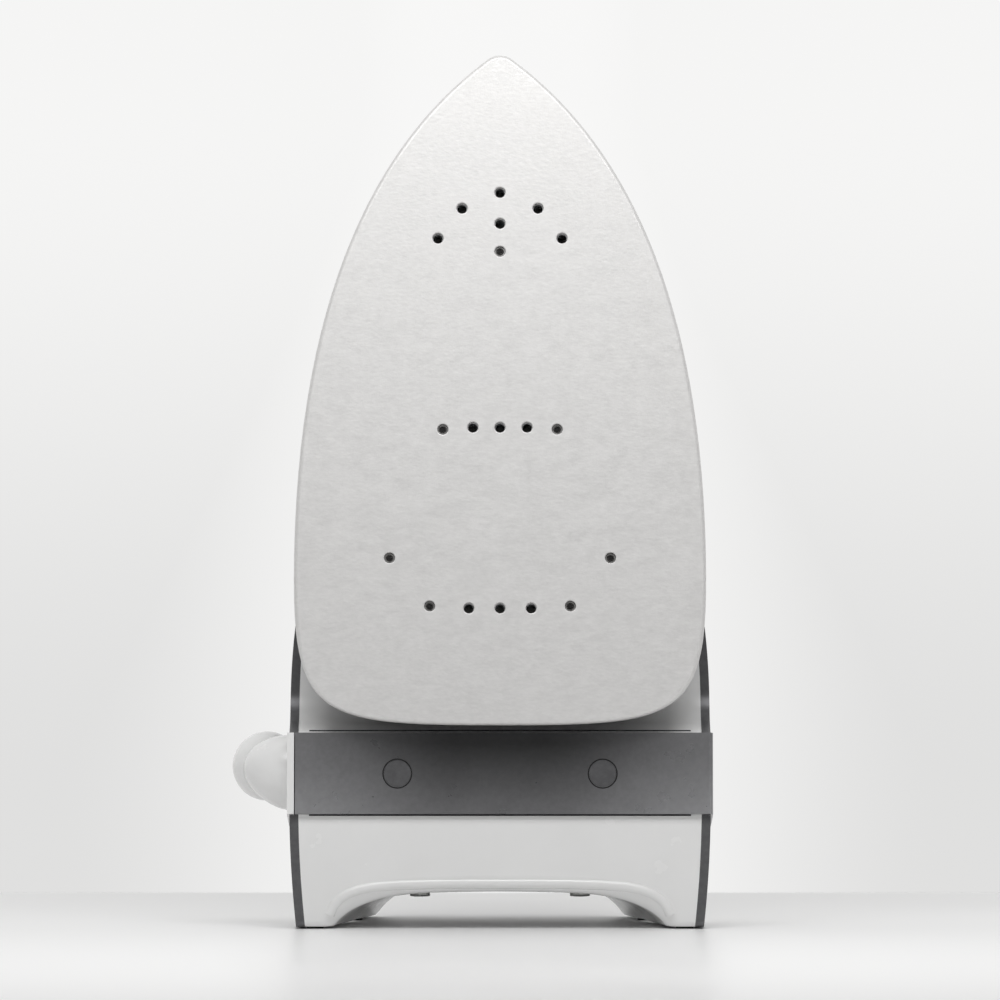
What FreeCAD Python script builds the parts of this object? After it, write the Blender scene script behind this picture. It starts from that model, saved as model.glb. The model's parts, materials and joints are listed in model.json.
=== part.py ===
import FreeCAD, Part
import math
import os
import re
from types import SimpleNamespace

import Sketcher
from FreeCAD import Placement, Rotation, Vector

# Steam iron standing on its heel.
#
# Every piece is drawn in the iron's own axes and then leaned back as one:
#   X  across the iron,
#   Y  height above the sole, as when ironing: 0 on the sole face,
#   Z  along the iron: 0 at the sole's rear edge, rising to the nose.
# The lean turns the whole iron about X, so that the heel stands flat on the floor at
# world Z = 0. World X = 0 is the plane of symmetry, and world Y = 0 is the middle of the heel.

DIMENSIONS = [
    # stance
    ("lean_angle", 8, "how far the sole leans back from upright, degrees"),
    ("heel_reach", 59.8, "from the sole's rear edge down to the floor at the front feet"),
    ("foot_front", 14, "height above the sole of the front edge of the heel's base"),
    ("foot_rear", 106, "height above the sole of the rear edge of the heel's base"),
    ("pad_standoff", 0.6, "how far the rubber feet stand out of the base"),
    ("foot_pad_width", 5, ""),
    ("foot_pad_height", 1.8, ""),
    # sole
    ("sole_half_width", 61.55, ""),
    ("sole_length", 202.6, ""),
    ("sole_thickness", 2.4, ""),
    ("sole_edge_radius", 1.2, "rounding of the face's edge"),
    ("sole_nose_radius", 6.1, ""),
    ("sole_belly", 44, "where the sole is widest"),
    ("nose_half_angle", 36.6, "half of the nose arc, degrees"),
    ("side_fullness", 68.6, "length of the side curve's handle at the widest point"),
    ("nose_fullness", 52.2, "length of the side curve's handle at the nose"),
    ("tail_fullness", 0.85, "share of the half-width that the rear edge runs nearly straight"),
    ("steam_hole_radius", 1.6, ""),
    ("hole_rim", 0.35, "rounded rim of each hole"),
    ("rivet_recess", 1.1, "depth of the rivet heads below the sole face"),
    ("rivet_length", 5.4, ""),
    ("rivet_dimple", 1.2, "radius of the cone in each rivet head"),
    ("seat_gap", 0.05, "radial clearance of seated pins and screws"),
    # heater
    ("casting_inset", 7, "sole edge to casting edge"),
    ("casting_back", 15, "back face of the casting, above the sole face"),
    ("chamber_inset", 22, "sole edge to steam chamber"),
    ("chamber_tail", 28, "rear end of the steam chamber"),
    ("chamber_floor", 8, "floor of the steam chamber, above the sole face"),
    ("element_radius", 3.2, ""),
    ("element_depth", 9, "centre of the element above the sole face"),
    ("gasket_thickness", 0.8, ""),
    ("gasket_width", 3, ""),
    ("cover_thickness", 1.5, "steam chamber cover"),
    ("cover_margin", 4, "how far the cover overlaps the chamber's rim"),
    ("skirt_inset", 3, "sole edge to skirt"),
    ("skirt_wall", 2.6, ""),
    ("skirt_front", 3.2, "front edge of the skirt, above the sole face"),
    ("skirt_back", 24, ""),
    ("skirt_shelf", 18, "front face of the skirt's shelf"),
    ("shelf_thickness", 2, ""),
    ("shelf_width", 16, ""),
    ("skirt_screw_radius", 1.4, ""),
    # water tank, body and saddle
    ("body_gap", 0.3, "joint line between outer shells"),
    ("body_back", 62.5, "saddle face, above the sole face"),
    ("body_half_width", 59.6, "at the skirt"),
    ("body_setback", 4.6, "sole's tip to the body's nose at the skirt"),
    ("saddle_half_width", 55, "at the saddle face"),
    ("saddle_setback", 26.6, "sole's tip to the nose of the body's plan at the saddle face"),
    ("hood_top_setback", 52.6, "sole's tip to where the hood begins to slope"),
    ("hood_end_depth", 29, "lower end of the hood slope, above the sole face"),
    ("hood_setback", 4.6, "sole's tip to the lower end of the hood slope"),
    ("tank_start", 93, "joint between the body shell and the tank"),
    ("tank_wall", 2.2, ""),
    ("saddle_thickness", 3.5, ""),
    ("linkage_space", 3.2, "between saddle and tank roof"),
    ("saddle_rounding", 3, "along the edges of saddle, hood and heel"),
    ("shell_start", 40, "joint between the heel and the body shell"),
    # filler
    ("flap_length", 20, ""),
    ("flap_width", 19, ""),
    ("flap_thickness", 1.8, ""),
    ("flap_lip_width", 8, ""),
    ("flap_start", 10, "from the hood's start down its slope to the hinge"),
    ("flap_gap", 0.35, ""),
    ("flap_pin_radius", 0.8, ""),
    ("neck_bore", 5.6, "radius"),
    ("neck_wall", 1.4, ""),
    ("neck_length", 10, ""),
    ("flap_plug_length", 1.2, ""),
    # spray nozzle
    ("nozzle_radius", 4, ""),
    ("nozzle_depth", 38.5, "centre above the sole face"),
    ("nozzle_length", 18, ""),
    ("nozzle_setback", 9.6, "sole's tip to the nozzle's mouth"),
    ("nozzle_bore", 0.7, "radius"),
    # temperature dial
    ("dial_place", 76, "along the iron"),
    ("dial_radius", 21, ""),
    ("dial_height", 7.5, ""),
    ("dial_lift", 0.5, "running gap under the dial"),
    ("dial_flutes", 36, ""),
    ("bezel_width", 2.4, ""),
    ("bezel_height", 1.6, ""),
    ("shaft_radius", 3, ""),
    ("running_gap", 0.1, "radial clearance of turning and sliding fits"),
    ("thermostat_back", 30, "back face of the thermostat, above the sole face"),
    # steam control
    ("slider_place", 108, "along the iron"),
    ("slider_travel", 7, "each way"),
    ("slider_width", 13, ""),
    ("slider_length", 9, ""),
    ("slider_height", 5, ""),
    ("valve_place", 128, "along the iron"),
    ("valve_radius", 6, ""),
    ("valve_bore", 3.4, "radius"),
    ("needle_radius", 1.4, ""),
    ("needle_lift", 2, ""),
    # heel
    ("heel_front", 9.7, "front face of the heel, above the sole face"),
    ("heel_half_width", 62.9, ""),
    ("foot_taper", 2.1, "how far each side of the heel draws in to the floor"),
    ("cove_start", -1.5, "where the heel's face starts to curve behind the sole"),
    ("cove_depth", 24.5, "face behind the sole's corners"),
    ("cove_radius", 12, ""),
    ("heel_joint", -14, "joint between heel body and heel foot, behind the band"),
    ("cheek_thickness", 2.7, ""),
    ("heel_wall", 2.5, ""),
    ("arch_height", 11.1, ""),
    ("front_foot_width", 10.3, ""),
    ("rear_foot_width", 22.8, ""),
    ("arch_rounding", 5, ""),
    ("foot_rounding", 1.8, ""),
    # band and cord outlet
    ("band_thickness", 1.5, ""),
    ("band_standoff", 0.2, "between band and heel"),
    ("band_top", -1.5, ""),
    ("band_height", 24.4, ""),
    ("band_side_reach", 42, "how far the band reaches along the cheek, above the sole face"),
    ("plate_thickness", 2.1, ""),
    ("plug_radius", 4.1, ""),
    ("plug_spacing", 61.3, ""),
    ("plug_recess", 0.1, ""),
    ("band_screw_radius", 1.5, ""),
    ("band_screw_head", 3.4, "radius"),
    ("outlet_reach", 63.6, "outer face of the outlet plate and of the band's leg, from the middle"),
    ("hood_depth", 24, "hood axis above the sole face"),
    ("hood_place", -11.4, "hood axis along the iron"),
    ("hood_radius", 11.3, ""),
    ("hood_height", 13.4, "how far the hood stands out of the plate"),
    ("hood_tilt", 12, "upward tilt of the hood's axis, degrees"),
    ("ball_radius", 10.4, ""),
    ("ball_gap", 0.3, "between the ball and its seat"),
    ("ball_out", 6.4, "ball centre outside the plate's face"),
    ("ball_depth", 31, "ball centre above the sole face"),
    ("ball_place", -8.9, "ball centre along the iron"),
    ("cord_bore", 3.7, "radius"),
    ("cord_bore_depth", 12, "from the collar's end"),
    ("collar_length", 15, "from the ball's centre"),
    ("collar_radius", 5.4, ""),
    ("trunnion_radius", 1.8, ""),
    ("swing_limit", 60, "how far the collar swings out from the iron, degrees"),
    # handle
    ("handle_half_width", 20, ""),
    ("handle_top", 132, "above the sole face"),
    ("grip_depth", 32, "from the handle's top to its underside"),
    ("handle_rounding", 8, ""),
    ("handle_wall", 2.6, ""),
    ("spine_half_width", 49, "handle root at the base"),
    ("grip_rear", 14, "rear end of the finger gap"),
    ("grip_front", 117, "front end of the finger gap"),
    ("grip_rounding", 16, ""),
    ("pillar_front", 156, ""),
    ("handle_nose", 173, ""),
    ("cover_depth", 4, "thickness of the handle cover"),
    ("grip_pad_depth", 3, ""),
    # buttons and pumps
    ("button_place", 138, "along the iron"),
    ("button_spacing", 19, ""),
    ("button_width", 14, ""),
    ("button_length", 23, ""),
    ("button_height", 8.5, ""),
    ("button_proud", 3, "above the handle"),
    ("button_gap", 0.35, ""),
    ("pump_radius", 6, ""),
    ("pump_bore", 4.3, "radius"),
    ("pump_length", 30, ""),
    ("dip_radius", 2.2, "tubes that draw water from the tank"),
    ("piston_radius", 4.2, ""),
    ("stem_radius", 2.2, ""),
    ("spring_radius", 4.4, "to the middle of the wire"),
    ("spring_wire", 0.5, "radius of the wire"),
    ("spring_turns", 6, ""),
    ("lamp_place", 108, "along the iron"),
    ("lamp_radius", 3.4, ""),
]

# Steam outlets and rivets of the sole: (across, along).
STEAM_HOLES = [(0, 160.7), (-11.4, 155.9), (11.4, 155.9), (0, 151.3), (-18.6, 146.8), (18.6, 146.8),
               (-8.1, 89.5), (0, 89.5), (8.1, 89.5), (-9.3, 35), (0, 35), (9.3, 35)]
SKIRT_SCREWS = [(-14, 14), (14, 14), (0, 190.3)]
RIVETS = [(0, 142.8), (-17.1, 88.9), (17.1, 88.9), (-33, 50.1), (33, 50.1), (-21, 35.6), (21, 35.6)]

doc = FreeCAD.newDocument("ClothesIron")
size = SimpleNamespace(**{alias: value for alias, value, note in DIMENSIONS})

BODY_TIP = size.sole_length - size.body_setback
SADDLE_TIP = size.sole_length - size.saddle_setback
HOOD_START = size.sole_length - size.hood_top_setback
HOOD_END = size.sole_length - size.hood_setback
ARCH_HALF = size.heel_half_width - size.foot_taper - size.front_foot_width
ARCH_REAR_HALF = size.heel_half_width - size.foot_taper - size.rear_foot_width
HANDLE_UNDER = size.handle_top - size.grip_depth


def make_sheet():
    """The driving dimensions, one row each: name, value and note."""
    sheet = doc.addObject("Spreadsheet::Sheet", "Dimensions")
    for row, (alias, value, note) in enumerate(DIMENSIONS, start=1):
        sheet.set("A%d" % row, alias)
        sheet.set("B%d" % row, str(value))
        sheet.set("C%d" % row, note)
        sheet.setAlias("B%d" % row, alias)
    doc.recompute()


make_sheet()

LEAN = math.radians(size.lean_angle)
SLOPE = math.tan(LEAN)


# ---------------------------------------------------------------- binding sizes to the sheet

def formula(text):
    """A formula in dimension names, written the way the document's expressions need it."""
    def qualify(match):
        word = match.group()
        return "Dimensions." + word if hasattr(size, word) else word
    return re.sub(r"[a-z]\w*", qualify, str(text))


def bind(target, formulas):
    """Set each property of the target from its formula."""
    for name, text in formulas.items():
        target.setExpression(name, formula(text))


def put(target, at, rotation=None):
    """Place an object's origin at three formulas."""
    if rotation is not None:
        target.Placement = Placement(Vector(), rotation)
    bind(target, {"Placement.Base." + axis: text for axis, text in zip("xyz", at)})


# ---------------------------------------------------------------- outlines

def rounded(corners, closed=True):
    """Straight runs and tangent arcs through corners given as (a, b, radius)."""
    points = [Vector(a, b, 0) for a, b, radius in corners]
    radii = [radius for a, b, radius in corners]
    return tangent_run(points, radii, closed)


def tangent_run(points, radii, closed):
    """Line and arc geometry through points, each corner rounded to its radius."""
    count = len(points)
    stops = []
    for index, (point, radius) in enumerate(zip(points, radii)):
        at_end = not closed and index in (0, count - 1)
        if radius == 0 or at_end:
            stops.append((point, point, None))
            continue
        back = (points[index - 1] - point).normalize()
        ahead = (points[(index + 1) % count] - point).normalize()
        half = back.getAngle(ahead) / 2
        reach = radius / math.tan(half)
        middle = (back + ahead).normalize() * (radius / math.sin(half) - radius)
        stops.append((point + back * reach, point + ahead * reach, point + middle))
    edges = []
    for index, (start, end, middle) in enumerate(stops):
        if middle is not None:
            edges.append(Part.Arc(start, middle, end))
        if closed or index < count - 1:
            following = stops[(index + 1) % count][0]
            edges.append(Part.LineSegment(end, following))
    return edges


def inset(corners, amount):
    """Corners of an anticlockwise outline with every side moved inwards."""
    moved = []
    count = len(corners)
    for index, (a, b, radius) in enumerate(corners):
        before = corners[index - 1]
        after = corners[(index + 1) % count]
        arriving = Vector(a - before[0], b - before[1], 0).normalize()
        leaving = Vector(after[0] - a, after[1] - b, 0).normalize()
        share = amount / (1 + arriving.dot(leaving))
        shift_a = -(arriving.y + leaving.y) * share
        shift_b = (arriving.x + leaving.x) * share
        outward = arriving.cross(leaving).z > 0
        new_radius = max(radius - amount, 0.5) if outward else radius + amount
        moved.append((a + shift_a, b + shift_b, new_radius if radius else 0))
    return moved


def curve(*poles):
    """A Bezier curve through its first and last pole."""
    bezier = Part.BezierCurve()
    bezier.setPoles([Vector(a, b, 0) for a, b in poles])
    return bezier.toBSpline()


def mirrored(half):
    """Outline edges of the right half together with their mirror images, as tuples of poles."""
    other = [tuple((-a, b) for a, b in poles) for poles in half]
    return [segment(poles) for poles in half + other]


def segment(poles):
    """A line through two poles, an arc through three, a Bezier curve through four."""
    if len(poles) == 2:
        return Part.LineSegment(*(Vector(a, b, 0) for a, b in poles))
    if len(poles) == 3:
        return Part.Arc(*(Vector(a, b, 0) for a, b in poles))
    return curve(*poles)


def plan_outline(half_width, tail, tip, nose_radius):
    """The iron's plan: blunt tail, full sides and a rounded nose."""
    angle = math.radians(size.nose_half_angle)
    stretch = (tip - size.sole_belly) / (size.sole_length - size.sole_belly)
    thin = half_width / size.sole_half_width
    centre = tip - nose_radius
    end = (nose_radius * math.sin(angle), centre + nose_radius * math.cos(angle))
    nose_handle = (end[0] + size.nose_fullness * math.cos(angle) * thin,
                   end[1] - size.nose_fullness * math.sin(angle) * stretch)
    belly = (half_width, size.sole_belly)
    side = (belly, (half_width, size.sole_belly + size.side_fullness * stretch), nose_handle, end)
    rear = (belly, (half_width, tail + 1.3), (half_width * size.tail_fullness, tail), (0, tail))
    arc = Part.Arc(Vector(-end[0], end[1], 0), Vector(0, tip, 0), Vector(*end, 0))
    return mirrored([side, rear]) + [arc]


def inset_plan(amount, tail=None):
    """The sole's plan drawn inwards by an even amount."""
    radius = max(size.sole_nose_radius - amount / 2, 2)
    rear = amount if tail is None else tail
    return plan_outline(size.sole_half_width - amount, rear, size.sole_length - amount * 1.25, radius)


def rectangle(a, b, width, height):
    """A rectangle from its lower left corner."""
    return rounded([(a, b, 0), (a + width, b, 0), (a + width, b + height, 0), (a, b + height, 0)])


def ground(depth):
    """Place along the iron of the floor at this height above the sole face."""
    return -size.heel_reach + (depth - size.foot_front) * SLOPE


def base(depth):
    """Place along the iron of the heel's base, above the rubber feet."""
    return ground(depth) + size.pad_standoff / math.cos(LEAN)


# ---------------------------------------------------------------- features

def plane(body, name):
    """One of the body's own origin planes."""
    return next(f for f in body.Origin.OriginFeatures if f.Role == name + "_Plane")


def new_body(name):
    return doc.addObject("PartDesign::Body", name)


def sketch(body, plane_name, geometry, start="0"):
    """A sketch on an origin plane, moved along the plane's normal to the start."""
    drawing = body.newObject("Sketcher::SketchObject", body.Name + "_sketch")
    drawing.AttachmentSupport = (plane(body, plane_name), [""])
    drawing.MapMode = "FlatFace"
    sign = "-" if plane_name == "XZ" else ""
    bind(drawing, {"AttachmentOffset.Base.z": "%s(%s)" % (sign, start)})
    for item in geometry:
        drawing.addGeometry(item, False)
    return drawing


def pad(body, drawing, length, symmetric=False):
    """Raise a sketch towards +X, +Y or +Z, or evenly to both sides."""
    feature = body.newObject("PartDesign::Pad", body.Name + "_pad")
    feature.Profile = drawing
    feature.SideType = "Symmetric" if symmetric else "One side"
    feature.Reversed = "XZ_Plane" in drawing.AttachmentSupport[0][0].Role and not symmetric
    bind(feature, {"Length": length})
    drawing.Visibility = False
    return feature


def pocket(body, drawing, depth=None):
    """Cut a sketch into the body towards +X, +Y or +Z, or right through it."""
    feature = body.newObject("PartDesign::Pocket", body.Name + "_pocket")
    feature.Profile = drawing
    if depth is None:
        feature.Type = "ThroughAll"
        feature.SideType = "Symmetric"
    else:
        feature.Type = "Length"
        feature.Reversed = "XZ_Plane" not in drawing.AttachmentSupport[0][0].Role
        bind(feature, {"Length": depth})
    return feature


def prism(name, plane_name, geometry, length, start="0", symmetric=False):
    """A body padded from one outline."""
    body = new_body(name)
    pad(body, sketch(body, plane_name, geometry, start), length, symmetric)
    return body


def drill(body, places, radius, start="0"):
    """Round holes right through the body, in height direction, each with its bound radius."""
    drawing = sketch(body, "XZ", [], start)
    for across, along in places:
        index = drawing.addGeometry(Part.Circle(Vector(across, along, 0), Vector(0, 0, 1), 1), False)
        number = drawing.addConstraint(Sketcher.Constraint("Radius", index, 1))
        bind(drawing, {"Constraints[%d]" % number: radius})
    return pocket(body, drawing)


def edge_names(shape, test):
    """Names of the shape's edges whose bounding box passes the test."""
    return ["Edge%d" % number for number, edge in enumerate(shape.Edges, start=1)
            if test(edge, edge.BoundBox)]


def round_edges(body, test, radius, kind="Fillet"):
    """Fillet or chamfer those edges of the body's last feature that pass the test."""
    doc.recompute()
    last = body.Tip
    feature = body.newObject("PartDesign::" + kind, body.Name + "_" + kind.lower())
    feature.Base = (last, edge_names(last.Shape, test))
    bind(feature, {"Radius" if kind == "Fillet" else "Size": radius})
    return feature


TOWARDS = {"x": Rotation(Vector(0, 1, 0), 90), "y": Rotation(Vector(1, 0, 0), -90), "z": Rotation()}


def cylinder(name, radius, height, at, axis="y"):
    """A round bar that starts at a point and runs along an axis."""
    bar = doc.addObject("Part::Cylinder", name)
    bind(bar, {"Radius": radius, "Height": height})
    put(bar, at, TOWARDS[axis])
    return bar


def cone(name, start_radius, end_radius, height, at, axis="y"):
    taper = doc.addObject("Part::Cone", name)
    bind(taper, {"Radius1": start_radius, "Radius2": end_radius, "Height": height})
    put(taper, at, TOWARDS[axis])
    return taper


def block(name, sizes, at):
    """A box centred on X, from the given height and place, of (width, height, length)."""
    brick = doc.addObject("Part::Box", name)
    width, height, length = sizes
    bind(brick, {"Length": width, "Width": height, "Height": length})
    across, depth, along = at
    put(brick, ("(%s) - (%s) / 2" % (across, width), depth, along))
    return brick


def sphere(name, radius, at):
    ball = doc.addObject("Part::Sphere", name)
    bind(ball, {"Radius": radius})
    put(ball, at)
    return ball


def combine(kind, name, parts):
    result = doc.addObject("Part::" + kind, name)
    result.Shapes = parts
    return result


def fuse(name, parts):
    return combine("MultiFuse", name, parts)


def common(name, parts):
    return combine("MultiCommon", name, parts)


def cut(name, stock, tools):
    result = doc.addObject("Part::Cut", name)
    result.Base = stock
    result.Tool = tools[0] if len(tools) == 1 else fuse(name + "_tools", tools)
    return result


def group(name, parts):
    result = doc.addObject("Part::Compound", name)
    result.Links = parts
    return result


def tube(name, points, bend, radius):
    """A round bar along straight runs joined by tangent arcs."""
    vectors = [Vector(*point) for point in points]
    path = doc.addObject("Part::Feature", name + "_path")
    path.Shape = Part.Wire([e.toShape() for e in tangent_run(vectors, [bend] * len(points), False)])
    ring = doc.addObject("Part::Circle", name + "_ring")
    bind(ring, {"Radius": radius})
    ring.Placement = Placement(vectors[0], Rotation(Vector(0, 0, 1), vectors[1] - vectors[0]))
    sweep = doc.addObject("Part::Sweep", name)
    sweep.Sections = [ring]
    sweep.Spine = (path, ["Edge%d" % (i + 1) for i in range(len(path.Shape.Edges))])
    sweep.Solid = True
    return sweep


def spun(name, half_outline, at, rotation):
    """A solid of revolution: the outline is turned about its vertical axis, then placed."""
    body = new_body(name)
    drawing = sketch(body, "XZ", half_outline)
    feature = body.newObject("PartDesign::Revolution", name + "_turn")
    feature.Profile = drawing
    feature.ReferenceAxis = (drawing, ["V_Axis"])
    feature.Angle = 360
    put(body, at, rotation)
    return body


def soften(name, source, test, radius):
    """Fillet the edges of a solid that pass the test."""
    doc.recompute()
    feature = doc.addObject("Part::Fillet", name)
    feature.Base = source
    numbers = [int(edge[4:]) for edge in edge_names(source.Shape, test)]
    feature.Edges = [(number, radius, radius) for number in numbers]
    return feature


# ---------------------------------------------------------------- registering sub-parts

pieces = []


def leaned():
    """The placement that stands the iron on its heel."""
    turn = Rotation(Vector(1, 0, 0), -size.lean_angle)
    front = turn.multVec(Vector(0, size.foot_front, ground(size.foot_front)))
    rear = turn.multVec(Vector(0, size.foot_rear, ground(size.foot_rear)))
    return Placement(Vector(0, -(front.y + rear.y) / 2, -front.z), turn)


def piece(label, source):
    """Register a finished sub-part under its name."""
    if any(entry[0].endswith("Placement.Base.z") for entry in source.ExpressionEngine):
        source = group(label + "_piece", [source])
    source.Label = label
    source.Placement = leaned()
    pieces.append((label, source))


# ---------------------------------------------------------------- sole and heater

def rim_edge(edge, box):
    """Rims of the round holes in the sole face."""
    return box.YMax < 0.01 and box.XLength < 5


def face_edge(edge, box):
    """The outer edge of the sole face."""
    return box.YMax < 0.01 and box.DiagonalLength > 8


def make_soleplate():
    plate = prism("soleplate", "XZ", inset_plan(0), "sole_thickness")
    drill(plate, STEAM_HOLES + RIVETS, "steam_hole_radius")
    round_edges(plate, rim_edge, "hole_rim")
    round_edges(plate, face_edge, "sole_edge_radius")
    piece("soleplate", plate)


def make_rivets():
    made = []
    for number, (across, along) in enumerate(RIVETS, start=1):
        name = "rivet_%d_" % number
        pin = cylinder(name + "pin", "steam_hole_radius - seat_gap", "rivet_length",
                       (across, "rivet_recess", along))
        dimple = cone(name + "dimple", "rivet_dimple", 0.1, "rivet_dimple * 0.8",
                      (across, "rivet_recess", along))
        made.append(cut(name + "body", pin, [dimple]))
    piece("soleplate_rivets", group("soleplate_rivets", made))


def element_route():
    """The heating element's run through the casting's rim: (across, height, along)."""
    low = size.element_depth
    high = size.skirt_back + 11
    side = [(30, high, 16), (30, low, 16), (47, low, 30), (47.5, low, 75), (37, low, 130), (0, low, 187)]
    return side + [(-across, depth, along) for across, depth, along in reversed(side[:-1])]


def make_heater():
    casting = prism("casting_stock", "XZ", inset_plan(size.casting_inset),
                    "casting_back - sole_thickness", "sole_thickness")
    chamber = inset_plan(size.chamber_inset, size.chamber_tail)
    pocket(casting, sketch(casting, "XZ", chamber, "chamber_floor"), "casting_back")
    drill(casting, STEAM_HOLES, "steam_hole_radius - 0.2")
    drill(casting, RIVETS, "steam_hole_radius")
    drill(casting, SKIRT_SCREWS, "skirt_screw_radius + seat_gap")
    element = tube("element_bar", element_route(), 6, "element_radius")
    channel = tube("element_channel", element_route(), 6, "element_radius")
    piece("heater_casting", cut("casting_cast", casting, [channel]))
    piece("heating_element", element)


def ring(name, outer, inner, thickness, start):
    """A flat ring between two outlines."""
    return prism(name, "XZ", outer + inner, thickness, start)


def make_chamber_cover():
    inner = inset_plan(size.chamber_inset, size.chamber_tail)
    middle = inset_plan(size.chamber_inset - size.gasket_width, size.chamber_tail - size.gasket_width)
    outer = inset_plan(size.chamber_inset - size.cover_margin, size.chamber_tail - size.cover_margin)
    piece("chamber_gasket", ring("gasket_ring", middle, inner, "gasket_thickness", "casting_back"))
    cover = prism("chamber_cover_plate", "XZ", outer, "cover_thickness", "casting_back + gasket_thickness")
    drill(cover, [(0, size.valve_place)], "valve_bore")
    piece("chamber_cover", cover)


def make_skirt():
    wall = size.skirt_inset + size.skirt_wall
    skirt = prism("skirt", "XZ", inset_plan(size.skirt_inset), "skirt_back - skirt_front", "skirt_front")
    pocket(skirt, sketch(skirt, "XZ", inset_plan(wall), "skirt_front - 1"), "skirt_shelf - skirt_front + 1")
    pocket(skirt, sketch(skirt, "XZ", inset_plan(wall), "skirt_shelf + shelf_thickness"), "skirt_back")
    pocket(skirt, sketch(skirt, "XZ", inset_plan(wall + size.shelf_width)))
    drill(skirt, [(-30, 16), (30, 16)], "element_radius + 1.2")
    drill(skirt, SKIRT_SCREWS, "skirt_screw_radius + seat_gap")
    relief = prism("skirt_relief", "YZ", rounded(inset(heel_side(), -size.body_gap)),
                   "2 * heel_half_width + 10", symmetric=True)
    piece("skirt", cut("skirt_cut", skirt, [relief]))
    made = []
    for number, (across, along) in enumerate(SKIRT_SCREWS, start=1):
        name = "skirt_screw_%d_" % number
        head = cylinder(name + "head", 2.4, 1.6, (across, "skirt_shelf + shelf_thickness", along))
        shank = cylinder(name + "shank", "skirt_screw_radius",
                         "skirt_shelf + shelf_thickness - sole_thickness - 3",
                         (across, "sole_thickness + 3", along))
        made.append(fuse(name + "body", [head, shank]))
    piece("skirt_screws", group("skirt_screws", made))


def make_thermostat():
    back = "casting_back + gasket_thickness + cover_thickness"
    body = block("thermostat_block", (22, "thermostat_back - casting_back - gasket_thickness - cover_thickness",
                                      26), (0, back, "dial_place - 13"))
    bush = cylinder("thermostat_bush", 5, 5, (0, "thermostat_back", "dial_place"))
    bore = cylinder("thermostat_bore", "shaft_radius + running_gap", 14, (0, "thermostat_back - 2", "dial_place"))
    piece("thermostat", cut("thermostat_body", fuse("thermostat_solid", [body, bush]), [bore]))
    fuse_body = cylinder("fuse_body", 3, 20, (-10, back + " + 3", "dial_place - 30"), "x")
    legs = [block("fuse_leg_%d" % n, (3, 3, 3), (x, back, "dial_place - 31.5")) for n, x in enumerate((-7, 7))]
    piece("thermal_fuse", fuse("fuse_assembly", [fuse_body] + legs))


# ---------------------------------------------------------------- body, tank and saddle

def hood_side(shrink=0.0):
    """The body seen from the side, as (height, along) corners: flat saddle, sloping hood."""
    corners = [(size.skirt_back + size.body_gap, size.shell_start + size.body_gap, 0),
               (size.body_back, size.shell_start + size.body_gap, 0),
               (size.body_back, HOOD_START, 10),
               (size.hood_end_depth, HOOD_END, 4),
               (size.skirt_back + size.body_gap, HOOD_END + 2, 0)]
    return inset(corners, shrink) if shrink else corners


def body_loft(name, shrink=0.0):
    """The body's plan, drawn in from the skirt up to the saddle."""
    body = new_body(name)
    low = size.skirt_back - 1
    high = size.body_back + 3
    low_plan = plan_outline(size.body_half_width - shrink, size.skirt_inset, BODY_TIP - shrink, 6)
    high_plan = plan_outline(size.saddle_half_width - shrink, size.skirt_inset, SADDLE_TIP - shrink, 6)
    sections = [sketch(body, "XZ", low_plan, low), sketch(body, "XZ", high_plan, high)]
    loft = body.newObject("PartDesign::AdditiveLoft", name + "_loft")
    loft.Profile = sections[0]
    loft.Sections = sections[1:]
    loft.Ruled = True
    return body


def body_form(name, side, shrink=0.0):
    """Part of the styled body: the loft held inside a side outline."""
    reach = prism(name + "_side", "YZ", rounded(side), "2 * body_half_width + 10", symmetric=True)
    return common(name, [body_loft(name + "_plan", shrink), reach])


def slope_frame():
    """Start, direction and outward normal of the hood's slope, in (height, along)."""
    start = Vector(size.body_back, HOOD_START, 0)
    end = Vector(size.hood_end_depth, HOOD_END, 0)
    direction = (end - start).normalize()
    normal = Vector(direction.y, -direction.x, 0)
    return start, direction, normal


def on_slope(distance, lift=0.0):
    """A place on the hood's slope: down it from its start, and out of it by the lift."""
    start, direction, normal = slope_frame()
    spot = start + direction * distance + normal * lift
    return spot.x, spot.y


def slope_turn():
    """Rotation that takes +Z to the slope's outward normal and +Y down the slope."""
    direction, normal = slope_frame()[1:]
    return Rotation(Vector(-1, 0, 0), Vector(0, direction.x, direction.y), Vector(0, normal.x, normal.y), "ZYX")


def slope_block(name, width, length, thickness, distance, lift):
    """A slab centred on X along the slope: lower face at the lift, upper end at the distance."""
    slab = doc.addObject("Part::Box", name)
    depth, along = on_slope(distance, lift)
    slab.Placement = Placement(Vector(0, depth, along), slope_turn())
    bind(slab, {"Length": width, "Width": length, "Height": thickness,
                "Placement.Base.x": "(%s) / 2" % width})
    return slab


def slope_bar(name, radius, length, distance, lift):
    """A round bar that runs inwards along the slope's normal from the lift."""
    normal = slope_frame()[2]
    bar = doc.addObject("Part::Cylinder", name)
    bind(bar, {"Radius": radius, "Height": length})
    depth, along = on_slope(distance, lift)
    inwards = Rotation(Vector(0, 0, 1), Vector(0, -normal.x, -normal.y))
    bar.Placement = Placement(Vector(0, depth, along), inwards)
    return bar


PIN_DEPTH = size.flap_pin_radius + 1.0      # flap pin's axis below the slope
FLAP_END = size.flap_start + size.flap_length
NECK_PLACE = size.flap_start + size.flap_length * 0.56


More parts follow.
